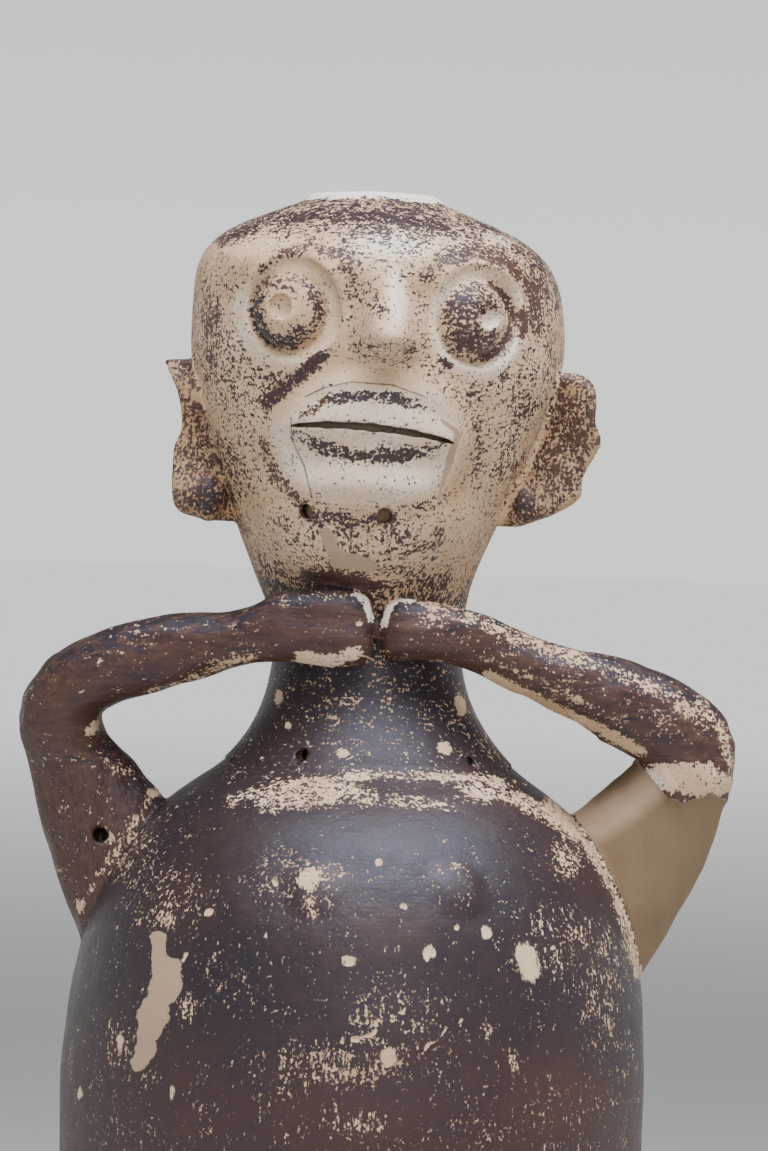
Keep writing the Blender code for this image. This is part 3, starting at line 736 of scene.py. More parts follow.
bodyWear = [
    blot(175, 905, 60, 60, slip=0.80),
    blot(130, 850, 40, 50, 40, slip=0.72),
    blot(560, 945, 70, 60, slip=0.78),
    blot(395, 1015, 80, 60, slip=0.80),
    blot(300, 880, 90, 40, slip=0.74),
    stroke([(232, 799), (262, 791), (300, 784), (345, 782)], 11, slip=0.50),
    stroke([(262, 804), (310, 799), (372, 797)], 14, slip=0.46),
    blot(334, 789, 40, 12, 0, 0.7, slip=0.40),
    stroke([(345, 776), (400, 775), (450, 777), (500, 783)], 10, 0.9, slip=0.30),
    blot(480, 793, 36, 15, 10, slip=0.26),
    blot(420, 803, 70, 12, 3, slip=0.46),
    stroke([(505, 795), (545, 812), (580, 836)], 16, 0.9, slip=0.40),
    stroke([(552, 802), (584, 838), (606, 875), (627, 925), (641, 975)], 12, 0.9, slip=0.36),
    stroke([(552, 802), (584, 838), (606, 875), (627, 925), (641, 975)], 14, wash=0.45),
    blot(566, 862, 26, 30, -30, slip=0.60),
    blot(300, 900, 44, 40, 0, 0.7, slip=1.00, rust=0.30),
    blot(309, 880, 14, 14, 0, 0.4, slip=0.02),
    blot(311, 906, 11, 18, 0, 0.7, slip=0.40),
    blot(451, 894, 34, 32, 0, 0.5, slip=0.92),
    blot(451, 894, 36, 34, 0, 0.5, rust=0.15),
    blot(456, 867, 15, 6, 5, 0.7, slip=0.36),
    blot(116, 1040, 20, 42, slip=0.66),
    blot(187, 1008, 14, 26, 0, 0.7, slip=0.62),
    blot(168, 918, 16, 16, slip=0.54),
    blot(330, 1065, 110, 34, slip=0.74),
    blot(488, 1030, 10, 22, 0, 0.7, slip=0.60),
    blot(513, 1062, 10, 20, 0, 0.7, slip=0.58),
    blot(602, 985, 30, 90, slip=0.76),
    blot(365, 1125, 60, 26, slip=0.72),
    blot(441, 1066, 120, 44, rust=0.45),
    blot(560, 1100, 70, 60, rust=0.70),
    blot(330, 1110, 130, 50, rust=0.50),
    blot(385, 930, 70, 36, rust=0.40),
    blot(400, 845, 170, 42, rust=0.05),
    blot(440, 600, 30, 40, rust=0.70),
    blot(430, 610, 34, 40, slip=0.62),
]
armWearAndHighlights = [
    # Painted highlight: the top of the rebuilt arm is made a paler plaster.
    stroke([(565, 803), (600, 822), (645, 786)], 34, 0.9, wash=1.20),
    # Worn slip along the top of the left hand, also standing as its painted highlight.
    stroke([(272, 602), (310, 597), (345, 596)], 9, slip=0.66),
    stroke([(150, 692), (190, 680), (235, 660), (262, 655)], 6, slip=0.55),
    stroke([(300, 657), (330, 662), (356, 652)], 9, 0.5, slip=0.02, wash=0.60),
    stroke([(356, 593), (366, 601), (371, 618)], 5, 0.6, slip=0.00),
    stroke([(356, 593), (366, 601), (371, 618)], 7, 0.6, wash=1.00),
    blot(328, 630, 20, 10, -20, 0.7, slip=0.80),
    blot(328, 630, 24, 13, -20, 0.7, rust=1.00),
    blot(92, 728, 12, 7, -50, 0.4, slip=0.00),
    blot(116, 768, 24, 15, 40, slip=0.60),
    blot(154, 793, 11, 6, -10, 0.5, slip=0.02),
    blot(81, 905, 7, 9, 30, 0.5, slip=0.02),
    stroke([(150, 798), (130, 828), (104, 866), (84, 903)], 3.5, 0.6, slip=0.45),
    blot(105, 836, 10, 10, 0, 0.6, slip=0.45),
    stroke([(455, 612), (520, 640), (590, 663), (660, 690), (706, 724)], 13, slip=0.55),
    stroke([(470, 640), (560, 670), (640, 706), (688, 738)], 13, slip=0.95),
    stroke([(482, 656), (560, 690), (620, 720)], 7, slip=0.72),
    stroke([(482, 654), (560, 686), (640, 725), (690, 750)], 15, rust=0.95),
    stroke([(487, 674), (540, 702), (600, 729), (642, 752)], 8, 0.7, slip=0.10),
    stroke([(384, 625), (390, 604), (400, 597), (411, 600)], 5, 0.6, slip=0.02),
    stroke([(384, 625), (390, 604), (400, 597), (411, 600)], 7, 0.6, wash=0.90),
    stroke([(700, 700), (722, 733), (731, 765)], 9, slip=0.48),
    blot(690, 779, 54, 20, 8, 0.3, slip=0.10),
]
earWear = [
    blot(209, 497, 20, 28, 15, 0.6, slip=0.85, rust=0.20),
    stroke([(171, 370), (186, 388), (200, 402)], 7, 0.7, slip=0.22),
    blot(200, 407, 10, 9, slip=0.85),
    blot(523, 505, 17, 20, 0, 0.7, slip=0.85, rust=0.25),
    blot(575, 430, 17, 36, slip=0.62),
    stroke([(598, 452), (586, 490), (562, 514)], 9, 0.6, slip=0.04),
    stroke([(552, 383), (575, 380), (594, 396)], 7, slip=0.74),
]
rebuiltEdge = ((600, 742), (640, 764), (655, 781), (668, 797), (682, 803), (700, 797),
               (712, 790), (724, 800), (745, 803))
wear = {
    "bodySlip": 1.14,
    "lowSlip": 1.06,
    "neckSlip": 0.98,
    "headSlip": 0.26,
    "sideSlip": 0.33,
    "crownSlip": 0.90,
    "armSlip": 1.06,
    "earSlip": 0.55,
    "lipSlip": -0.6,       # bare clay
    "armMargin": 1.45,     # in half thicknesses of an arm
    "insideDepth": 0.0035,
    "rebuiltFrom": 545,    # on the photograph
    "rebuiltSoft": 12,
}


def onArms(points, reach):
    # Which points lie on the left arm and on the right one.
    free = reach > radiusAt(points[:, 2]) + 0.0010
    found = []
    for sideName in ("left", "right"):
        near = np.full(len(points), 1e6)
        for row in armRows[sideName]:
            gap = np.linalg.norm(points - row[:3], axis=1) / (0.5 * max(row[3], row[5]))
            near = np.minimum(near, gap)
        found.append((near < wear["armMargin"]) & free)
    return found


def onEars(points):
    found = np.zeros(len(points), bool)
    for ear in (earForm["left"], earForm["right"]):
        out = np.array(direction(ear["azimuth"]))
        reach = points @ out
        beside = points - np.outer(reach, out)
        gap = np.hypot(beside[:, 0], beside[:, 1])
        low, high = headAt(ear["rows"][0][0]) - 0.004, headAt(ear["rows"][-1][0]) + 0.004
        inHeight = (points[:, 2] > low) & (points[:, 2] < high)
        found |= (gap < 0.016) & inHeight & (reach > radiusAt(points[:, 2]) + 0.0012)
    return found


def addMarks(fields, marks, u, v, where):
    for weight, values in marks:
        share = weight(u, v) * where
        for name, value in values.items():
            fields[name] += (value - fields[name]) * share


chips = [
    (379, 863, 5, 5, 0), (404, 906, 5, 5, 0), (487, 932, 6, 8, 0), (429, 953, 7, 9, 10),
    (349, 961, 9, 6, 0), (351, 1020, 4, 5, 0), (389, 1058, 10, 11, 0), (457, 927, 4, 4, 0),
    (553, 947, 3, 3, 0), (275, 883, 4, 6, 0), (209, 912, 6, 4, -30), (185, 957, 3, 6, 30),
    (172, 1093, 4, 8, 0), (80, 1094, 3, 7, 0), (120, 1042, 4, 9, 0), (527, 962, 12, 21, -14),
    (343, 753, 8, 6, 0), (445, 748, 8, 7, 20), (461, 705, 6, 12, -10), (279, 697, 5, 9, 0),
    (288, 725, 4, 4, 0), (81, 691, 3, 3, 0), (100, 661, 4, 4, 0), (359, 623, 4, 3, 0),
]
scars = [
    ((340, 1041), (370, 1037), 2.0), ((370, 1037), (381, 1023), 2.0), ((381, 1023), (410, 1008), 2.2),
    ((423, 1052), (444, 1030), 2.4), ((444, 1030), (462, 1019), 2.8),
    ((357, 653), (376, 661), 1.3),
]
fills = [
    ((158, 938), (160, 975), 8.0), ((168, 972), (152, 1020), 15.0), ((152, 1020), (141, 1058), 12.0),
    ((441, 420), (457, 432), 2.2), ((457, 432), (469, 431), 2.0), ((457, 436), (449, 462), 4.0),
    ((449, 462), (439, 499), 2.2), ((326, 534), (336, 557), 7.0), ((338, 560), (370, 566), 8.0),
]


def nearestMark(u, v, ovals, lines):
    # 1 in the middle of the nearest mark, 0 on its edge and less outside.
    gaps = [ovalGap(u, v, *oval) for oval in ovals]
    gaps += [lineGap(u, v, start, end) / width for start, end, width in lines]
    return np.maximum(1 - np.min(gaps, axis=0), -1.5)


def sunkClay(points, reach):
    # 1 in the mouth slit and in the pierced holes, where no light comes.
    x, y, height = points.T
    frontness = ease(face["frontness"] * -y / np.maximum(reach, 1e-6))
    below = radiusAt(height) + faceRelief(x, height) * frontness - reach
    inSlit = np.abs(height - slitHeight(x)) < openForm["slitHeight"]
    inSlit &= (np.abs(x) < openForm["slitLength"] / 2) & (y < 0)
    sunk = np.where(inSlit, ease((below - 0.0003) / 0.0012), 0.0)
    for placed, radius, surface in drillings():
        local = inFrame(points, placed)
        inBore = np.hypot(local[:, 0], local[:, 1]) < 1.25 * radius
        sunk = np.where(inBore & (local[:, 2] > 0), ease((surface + 0.0002 - local[:, 2]) / 0.0014), sunk)
    return sunk


def paintClay(piece):
    mesh = piece.data
    points, normals = getPoints(mesh), getNormals(mesh)
    u, v = onPhoto(points)
    x, y, height = points.T
    reach = np.hypot(x - sway(height), y)
    azimuth = np.degrees(np.arctan2(x, -y))
    turnedHeight = height - crownDrop(x, height)
    leftArm, rightArm = onArms(points, reach)
    arms = leftArm | rightArm
    ears = onEars(points)
    broken = np.interp(u, *np.array(rebuiltEdge).T)
    rebuilt = np.clip((v - broken) / wear["rebuiltSoft"] + 0.5, 0, 1)
    rebuilt *= rightArm & (u > wear["rebuiltFrom"])
    inside = (reach < radiusAt(turnedHeight) - wear["insideDepth"]) & ~arms & ~ears
    head = (height > waist + 0.012) & ~arms & ~ears & ~inside
    body = ~head & ~arms & ~ears & ~inside
    front = ease((0.2 - normals[:, 1]) / 0.3) * np.where(y < 0.012, 1.0, 0.0)

    fields = {name: np.zeros(len(points)) for name in ("slip", "rust", "wash", "soil", "upright", "rebuilt")}
    broad = lumps(points, 0.045, 1)
    mid = lumps(points, 0.016, 2)
    slip = np.where(height < neckRoot, wear["bodySlip"], wear["neckSlip"])
    slip = slip + (wear["lowSlip"] - wear["bodySlip"]) * ease((0.19 - height) / 0.03)
    sides = ease((np.abs(azimuth) - 52) / 30)
    headSlip = wear["headSlip"] + (wear["sideSlip"] - wear["headSlip"]) * sides
    headSlip = headSlip + 0.30 * ease((np.abs(azimuth) - 95) / 30)
    headSlip += (wear["crownSlip"] - headSlip) * ease((height - 0.430) / 0.012)
    headSlip += (0.66 - headSlip) * ease((0.336 - height) / 0.016)
    slip = np.where(head, headSlip, slip)
    slip = np.where(arms, wear["armSlip"], slip)
    slip = np.where(ears, wear["earSlip"], slip)
    slip = slip + 0.10 * broad * ~head + 0.10 * mid
    lipTop = (turnedHeight > crown - 0.0002) & (reach < turnedForm["crownRadius"] + 0.0006)
    slip = np.where(inside | lipTop, wear["lipSlip"], slip)
    slip = np.where(height < 0.0012, 0.10, slip)
    rust = 0.18 + 0.30 * ease((0.205 - height) / 0.05) + 0.15 * broad
    rust = np.where(head, 0.45 - 0.30 * ease((height - 0.42) / 0.02), rust)
    rust = np.where(arms, 0.95 - 0.80 * ease(1.6 * normals[:, 2]), rust)
    rust = np.where(ears, 0.70, rust)
    fields["slip"][:] = slip
    fields["rust"][:] = rust
    fields["wash"][:] = np.where(lipTop, 1.6, np.where(head, 0.30, 0.40) + 0.15 * mid)
    upright = np.where(height < 0.235, 0.85, 0.10)
    upright = np.where(head, 0.15 + 0.75 * sides, upright)
    upright = np.where(head & (height < 0.345), 0.7, upright)
    upright = np.where(arms, np.where(height < 0.262, 0.9, 0.1), upright)
    fields["upright"][:] = np.where(ears, 0.6, upright)
    # Painted shade: clay that faces down is darkened, more on the head and ears. The inside and the ears are
    # darker still.
    fields["soil"][:] = ease((0.10 - normals[:, 2]) / 1.1) * np.where(head | ears, 0.5, 0.25)
    fields["soil"][:] = np.where(inside, 0.7, np.where(ears, 1.15, fields["soil"]))
    fields["wash"][:] = np.where(ears, 0.10, fields["wash"])
    addMarks(fields, faceWearAndShading, u, v, front * head)
    addMarks(fields, bodyWear, u, v, front * (body | (height < 0.335)))
    addMarks(fields, armWearAndHighlights, u, v, np.where(arms | (front > 0.5) & body & (u < 170), 1.0, 0.0))
    addMarks(fields, earWear, u, v, front * ears)
    fields["rebuilt"][:] = rebuilt
    fields["sunk"] = sunkClay(points, reach)
    fields["chipped"] = nearestMark(u, v, chips, scars)
    fields["filled"] = nearestMark(u, v, [], fills)
    fields["front"] = front * ~inside
    fields["turned"] = (~arms & ~ears).astype(float)
    fields["flaky"] = np.where(head, 0.75, 1.0)
    for name, values in fields.items():
        layer = mesh.attributes.new(name, "FLOAT", "POINT")
        layer.data.foreach_set("value", values.astype(np.float32))
    print("painted:", len(points), "points")


chest = {
    "bosses": [(-11.0, 0.71, 0.0013), (21.5, 0.72, 0.0018)],     # azimuth, height in shoulder rises, rise
    "radius": 0.0100,
}
relief = {
    "lump": 0.00035,
    "armLump": 0.0010,
    "lumpSize": 0.022,
    "dimple": 0.00010,
    "addedDimple": 0.00030,      # on arms and ears
    "dimpleSize": 0.008,
    "armGroove": 0.00075,
    "grooveLength": 0.045,
    "grooveWidth": 0.0055,
    "ledge": 0.0004,       # the step where the neck was luted to the body
    "ledgeHeight": 0.2672,
    "ledgeTop": 0.010,
    "ledgeFoot": 0.0012,
    "rings": 0.00010,
    "ringGap": 0.0042,
    "breakStep": 0.0008,   # the old elbow stands over the rebuilt arm
}


def weather(piece):
    # Hand-made unevenness, luting ledge and broken edge, moved along the normals.
    mesh = piece.data
    points, normals = getPoints(mesh), getNormals(mesh)
    x, y, height = points.T
    leftArm, rightArm = onArms(points, np.hypot(x - sway(height), y))
    onArm, onEar = leftArm | rightArm, onEars(points)
    turned = ~onArm & ~onEar
    move = np.where(onArm, relief["armLump"], relief["lump"]) * lumps(points, relief["lumpSize"], 3)
    dimple = np.where(onArm | onEar, relief["addedDimple"], relief["dimple"])
    move += dimple * lumps(points, relief["dimpleSize"], 4)
    long, narrow = relief["grooveLength"], relief["grooveWidth"]
    along = np.where((height > neckRoot + 0.004)[:, None], (long, narrow, narrow), (narrow, narrow, long))
    move += relief["armGroove"] * lumps(points / along, 1.0, 8) * onArm
    gap = height - relief["ledgeHeight"] - 0.0006 * lumps(points, 0.02, 5)
    step = np.where(gap > 0, np.exp(-gap / relief["ledgeTop"]), -0.9 * np.exp(gap / relief["ledgeFoot"]))
    thrown = turned * (height < waist)
    move += relief["ledge"] * step * thrown * (np.abs(gap) < 0.02)
    move += relief["rings"] * np.sin(height / relief["ringGap"] + 2 * lumps(points, 0.05, 6)) * thrown
    for azimuth, share, rise in chest["bosses"]:
        middle = surfacePoint(azimuth, turnedForm["bellyHeight"] + share * turnedForm["shoulderRise"])
        gap = np.linalg.norm(points - np.array(middle), axis=1) / chest["radius"]
        move += rise * ease((1.15 - gap) / 0.9) * turned
    u, v = onPhoto(points)
    edge = np.interp(u, *np.array(rebuiltEdge).T)
    elbow = onArm & (u > 600) & (v < edge + 2) & (v > edge - 22)
    move += relief["breakStep"] * elbow * (0.6 + 0.8 * lumps(points, 0.004, 7))
    move[height < 0.003] = 0.0
    setPoints(mesh, points + normals * move[:, None])


# Cut when the clay was leather-hard: the hollow, the mouth slit, pupils and pierced holes.

openForm = {
    "slitLength": 0.050,
    "slitHeight": 0.0023,
    "slitDepth": 0.0058,
    "chinHole": 0.0023,
    "neckHole": 0.0022,
    "armHole": (0.89, -0.47, 0.0022, 0.007),     # reach, height, radius and depth
    "flare": 0.0012,
    "hollowSteps": 96,
}
chinHoles = [(-21.5, 0.300, 1.0), (6.5, 0.297, 1.0)]      # azimuth, height on the head, size
neckHoles = [(-30.0, 0.20, 1.0), (48.0, 0.18, 0.75)]      # azimuth, height in neck rises, size


def hollowCutter():
    form = turnedForm
    outer = outline(14, 22, 9, 14, 16)
    run = np.gradient(outer, axis=0)
    run /= np.linalg.norm(run, axis=1)[:, None]
    inner = outer + np.column_stack((run[:, 1], -run[:, 0])) * form["wall"]
    keep = (inner[:, 0] > form["mouthRadius"] + 0.003) & (inner[:, 1] > form["floor"] + 0.003)
    inner = inner[keep]
    above = crown + 0.012
    mouth = form["mouthRadius"]
    profile = [(0.0, above), (mouth + 0.004, above), (mouth + openForm["flare"], crown + form["lipHeight"]),
               (mouth, crown), (mouth, inner[:, 1].max() + 0.0006)]
    profile += [tuple(point) for point in inner]
    profile += [(inner[-1, 0] - 0.003, form["floor"]), (0.0, form["floor"])]
    piece = spinProfile("hollow", profile, openForm["hollowSteps"])
    points = getPoints(piece.data)
    reach = np.maximum(np.hypot(points[:, 0], points[:, 1]), 1e-6)
    turn = points[:, :2] / reach[:, None]
    wide = (reach > mouth + 0.002) & (points[:, 2] < crown)
    frontness = ease(face["frontness"] * -turn[:, 1])
    rise = np.where(wide, broadRelief(points[:, 0], points[:, 2]) * frontness, 0.0)
    points[:, :2] += turn * rise[:, None]
    drop = crownDrop(points[:, 0], points[:, 2])
    points[:, 0] += sway(points[:, 2])
    points[:, 2] += drop
    setPoints(piece.data, points)
    return piece


def slitCutter():
    half = openForm["slitLength"] / 2
    rings = []
    for share in np.linspace(-1, 1, 41):
        x = half * share
        height = float(slitHeight(x))
        azimuth = math.degrees(math.asin(x / (float(radiusAt(height)) + face["muzzle"]["rise"])))
        place = surfacePoint(azimuth, height, relief=faceRelief)
        uneven = 1 + 0.5 * noise.noise(Vector((x / 0.0028, 1.7, 0)))
        openHalf = 0.5 * openForm["slitHeight"] * uneven * (1 - share * share) ** 0.5 + 0.0002
        rings.append(placeAxes((0, openForm["slitDepth"], 0), (0, 0, openHalf), (1, 0, 0), place))
    return loft("slit", rings, 12)


def drill(placed, radius, low, high):
    # A slightly flared round cutter along Z.
    rings = []
    for at, wide in ((low, radius), (high - 0.012, radius), (high, 2.2 * radius)):
        rings.append(placed @ Matrix.Translation((0, 0, at)) @ Matrix.Diagonal((wide, wide, 1, 1)))
    return loft("drill", rings, 24)


def drillings():
    # Each pierced hole: its frame, radius and the height of the clay's surface along it.
    made = []
    for azimuth, share, scale in chinHoles:
        made.append((azimuth, headAt(share), openForm["chinHole"] * scale))
    for azimuth, rise, scale in neckHoles:
        made.append((azimuth, neckRoot + rise * turnedForm["neckRise"], openForm["neckHole"] * scale))
    bores = []
    for azimuth, height, radius in made:
        placed = aimZ(direction(azimuth), Vector((float(sway(height)), 0, height)))
        bores.append((placed, radius, (surfacePoint(azimuth, height) - placed.translation).length))
    reach, rise, radius = openForm["armHole"][:3]
    place = Vector((-reach * turnedForm["bellyRadius"], 0, neckRoot + rise * turnedForm["neckRise"]))
    bores.append((aimZ(direction(0), place), radius, 0.5 * armForm["depth"]))
    return bores


def holeCutters():
    depths = [3 * turnedForm["wall"]] * (len(chinHoles) + len(neckHoles)) + [openForm["armHole"][3]]
    return [drill(placed, radius, surface - depth, surface + 0.0110)
            for (placed, radius, surface), depth in zip(drillings(), depths)]


def pupilCutter(eye):
    placed = eyeCentre(eye, "pupil") @ Matrix.Translation((0, 0, eyeForm["bossRise"] + 0.0004))
    radius = eyeForm["pupilRadius"]
    shape = bmesh.new()
    size = Matrix.Diagonal((radius, radius, eyeForm["pupilDepth"] + 0.0004, 1.0))
    bmesh.ops.create_uvsphere(shape, u_segments=32, v_segments=16, radius=1.0, matrix=placed @ size)
    for vert in shape.verts:
        vert.co += vert.normal * 0.00025 * noise.noise(vert.co / 0.0022)
    return makePiece("pupil", shape)


def cutOpenings(piece):
    cutters = [hollowCutter(), slitCutter()] + holeCutters() + [pupilCutter(eye) for eye in eyes]
    group = bpy.data.collections.new("openings")
    for cutter in cutters:
        group.objects.link(cutter)
    cut = piece.modifiers.new("openings", "BOOLEAN")
    cut.operation = "DIFFERENCE"
    cut.solver = "EXACT"
    cut.operand_type = "COLLECTION"
    cut.collection = group
    applyModifiers(piece)
    for cutter in cutters:
        bpy.data.objects.remove(cutter)
    bpy.data.collections.remove(group)
    print("openings cut:", len(piece.data.polygons), "faces")


# The material. Arithmetic on a Signal adds nodes, and node() adds any other.

class Signal:
    def __init__(self, tree, socket):
        self.tree = tree
        self.socket = socket

    def node(self, kind, inputs, output=0, **settings):
        made = self.tree.nodes.new(kind)
        for name, value in settings.items():
            setattr(made, name, value)
        for key, value in inputs.items():
            if isinstance(value, Signal):
                self.tree.links.new(value.socket, made.inputs[key])
            else:
                made.inputs[key].default_value = value
        return Signal(self.tree, made.outputs[output])

    def math(self, operation, first, second=0.0, clamp=False):
        return self.node("ShaderNodeMath", {0: first, 1: second}, operation=operation, use_clamp=clamp)

    def __add__(self, other):
        return self.math("ADD", self, other)

    def __radd__(self, other):
        return self.math("ADD", other, self)

    def __sub__(self, other):
        return self.math("SUBTRACT", self, other)

    def __rsub__(self, other):
        return self.math("SUBTRACT", other, self)

    def __mul__(self, other):
        return self.math("MULTIPLY", self, other)

    def __rmul__(self, other):
        return self.math("MULTIPLY", other, self)

    def __truediv__(self, other):
        return self.math("DIVIDE", self, other)

    def __rtruediv__(self, other):
        return self.math("DIVIDE", other, self)

    def __neg__(self):
        return self.math("MULTIPLY", self, -1.0)

    def clamped(self):
        return self.math("ADD", self, 0.0, clamp=True)

    def most(self, other):
        return self.math("MAXIMUM", self, other)

    def least(self, other):
        return self.math("MINIMUM", self, other)

    def vector(self, operation, other, output=0):
        return self.node("ShaderNodeVectorMath", {0: self, 1: other}, output, operation=operation)

    def blend(self, first, second):
        # The first colour at 0, the second at 1.
        ends = [(*colour, 1.0) if isinstance(colour, tuple) else colour for colour in (first, second)]
        return self.node("ShaderNodeMix", {0: self, 6: ends[0], 7: ends[1]}, 2,
                         data_type="RGBA", clamp_factor=True)


fired = {
    "slipBlack": (0.025, 0.018, 0.022),
    "slipBrown": (0.080, 0.036, 0.021),
    "slipThin": (0.130, 0.078, 0.053),
    "tan": (0.52, 0.32, 0.175),
    "cream": (0.76, 0.555, 0.37),
    "white": (0.86, 0.76, 0.66),
    # A dark brown that darkens the clay, for dirt and for painted shade in grooves and on undersides.
    "soil": (0.17, 0.10, 0.052),
    "plaster": (0.215, 0.142, 0.074),
    "filler": (0.44, 0.305, 0.205),
    # Used as painted shade in the mouth slit and pierced holes, and for the dark of the cracks.
    "depth": (0.030, 0.018, 0.012),      # cracks and holes
    "sharpness": 5.0,      # of the worn edge of the slip
    "grainWear": 2.5,      # how far each size of grain moves that edge
    "speckWear": 2.2,
    "patchWear": 1.15,
    "broadWear": 0.60,
    "slipRoughness": 0.45,
    "clayRoughness": 0.78,
}
cracks = [
    ((291, 418), (292, 440)), ((292, 440), (304, 466)), ((304, 466), (312, 498)),
    ((305, 397), (324, 388)), ((324, 388), (352, 382)), ((352, 382), (392, 385)), ((392, 385), (425, 397)),
]


def photoCoordinates(place):
    # The shader's own copy of onPhoto.
    local = place.vector("SUBTRACT", tuple(cameraPlace))
    scale = focus / local.vector("DOT_PRODUCT", tuple(cameraForward), "Value")
    u = local.vector("DOT_PRODUCT", tuple(cameraRight), "Value") * scale + camera["width"] / 2
    v = camera["height"] / 2 - local.vector("DOT_PRODUCT", tuple(cameraUp), "Value") * scale
    return place.node("ShaderNodeCombineXYZ", {"X": u, "Y": v})


def segmentGap(at, first, second):
    # Pixels from a line of the photograph.
    runU, runV = second[0] - first[0], second[1] - first[1]
    length = runU * runU + runV * runV
    away = at.vector("SUBTRACT", (*first, 0))
    share = away.vector("DOT_PRODUCT", (runU / length, runV / length, 0), "Value").clamped()
    foot = at.node("ShaderNodeVectorMath", {0: (runU, runV, 0), "Scale": share}, operation="SCALE")
    return away.vector("DISTANCE", foot, "Value")


def clayMaterial():
    made = bpy.data.materials.new("slipped clay")
    made.use_nodes = True
    tree = made.node_tree
    shader = tree.nodes["Principled BSDF"]
    start = Signal(tree, None)

    def layer(name):
        return start.node("ShaderNodeAttribute", {}, output="Fac", attribute_name=name)

    def grain(size, detail=3.0, roughness=0.6, distortion=0.0):
        scale = tuple(1 / length for length in size)
        scaled = start.node("ShaderNodeMapping", {"Vector": place, "Scale": scale})
        return start.node("ShaderNodeTexNoise", {"Vector": scaled, "Scale": 1.0, "Detail": detail,
                                                 "Roughness": roughness, "Distortion": distortion})

    def pick(first, second, share):
        return first + (second - first) * share

    place = start.node("ShaderNodeTexCoord", {}, output="Object")
    slip, rust, wash, soil = layer("slip"), layer("rust"), layer("wash"), layer("soil")
    upright, rebuilt, front, turned = layer("upright"), layer("rebuilt"), layer("front"), layer("turned")

    flat = grain((0.0026, 0.0026, 0.0010), 4.0, 0.62)
    standing = grain((0.0013, 0.0013, 0.0042), 4.0, 0.62)
    speckle = grain((0.0009, 0.0009, 0.0011), 2.0, 0.6)
    patches = grain((0.0075, 0.0075, 0.0060), 3.0, 0.55)
    broad = grain((0.034, 0.034, 0.034), 2.0, 0.5)
    brushed = grain((0.030, 0.030, 0.0009), 3.0, 0.7)
    wiped = grain((0.016, 0.0024, 0.0024), 4.0, 0.65, 0.6)
    wiped = pick(wiped, standing, upright)
    worn = pick(flat, standing, upright)

    at = photoCoordinates(place)
    ragged = (patches - 0.5) * 0.9 + (worn - 0.5) * 1.4
    chipDepth = (layer("chipped") + ragged * 0.8).clamped() * front
    chipped = ((layer("chipped") + ragged) * 5.0).clamped() * front
    filled = ((layer("filled") + (patches - 0.5) * 1.6) * 8.0).clamped() * front
    cracked = None
    for first, second in cracks:
        gap = segmentGap(at, first, second)
        cracked = gap if cracked is None else cracked.least(gap)
    cracked = (1.0 - cracked * 0.9 - (worn - 0.5) * 3.0).clamped() * front * turned

    restored = ((rebuilt - 0.5 + (patches - 0.5) * 0.8 + (flat - 0.5) * 0.4) * 9.0).clamped()
    plaster = restored.most(filled)
    flaking = (patches - 0.5) * layer("flaky") * fired["patchWear"]
    field = slip + (worn - 0.5) * fired["grainWear"] + flaking
    field = field + (broad - 0.5) * fired["broadWear"] + (speckle - 0.5) * fired["speckWear"]
    cover = ((field - 0.5) * fired["sharpness"] + 0.5).clamped()
    cover = (cover - chipped - plaster).clamped()
    thin = (1.0 - (field - 0.5) * 2.4).clamped()

    limb = 1.0 - turned
    brown = rust + (broad - 0.5) * 0.6 + (patches - 0.5) * 0.7 + (standing - 0.5) * 0.4
    brown = (brown + (wiped - 0.5) * limb * 4.6).clamped()
    dark = brown.blend(fired["slipBlack"], fired["slipBrown"])
    dark = (thin * (0.2 + 0.5 * brown) + limb * (wiped - 0.53) * 3.0).blend(dark, fired["slipThin"])
    pale = (wash + (broad - 0.5) * 0.8 + (patches - 0.5) * 0.7).clamped()
    clay = (pale * 2.0).clamped().blend(fired["tan"], fired["cream"])
    clay = (pale * 2.0 - 1.0).clamped().blend(clay, fired["white"])
    # Random stains, with the dirt and painted shade of the darkening field, pull the clay towards dark
    # brown.
    stainsAndShade = soil * 0.55 + (speckle - 0.52) * 1.8 + (patches - 0.5) * 1.1 + (brushed - 0.5) * 0.7
    clay = (stainsAndShade.clamped() * 0.55).blend(clay, fired["soil"])
    fill = filled.most((wash - 0.6) * 2.0).clamped().blend(fired["plaster"], fired["filler"])
    colour = plaster.blend(cover.blend(clay, dark), fill)
    # Painted shade fills the mouth slit and pierced holes; the cracks are darkened too.
    colour = (cracked * 0.75).most(layer("sunk") * 0.66).blend(colour, fired["depth"])
    tree.links.new(colour.socket, shader.inputs["Base Color"])

    gloss = fired["slipRoughness"] + (speckle - 0.5) * 0.25 + (patches - 0.5) * 0.2 + thin * 0.15
    rough = pick(fired["clayRoughness"], gloss, cover)
    tree.links.new(rough.socket, shader.inputs["Roughness"])
    shader.inputs["Specular IOR Level"].default_value = 0.50
    shader.inputs["Specular Tint"].default_value = (0.74, 0.78, 1.0, 1.0)

    height = cover * 0.11 + worn * 0.10 + speckle * 0.05 + brushed * turned * 0.055 + wiped * limb * 0.32
    height = height - chipDepth * 0.45 - cracked * 0.35 + (patches - 0.5) * 0.35 - plaster * (worn * 0.08)
    bump = start.node("ShaderNodeBump", {"Height": height, "Strength": 1.0, "Distance": 0.001})
    tree.links.new(bump.socket, shader.inputs["Normal"])
    return made


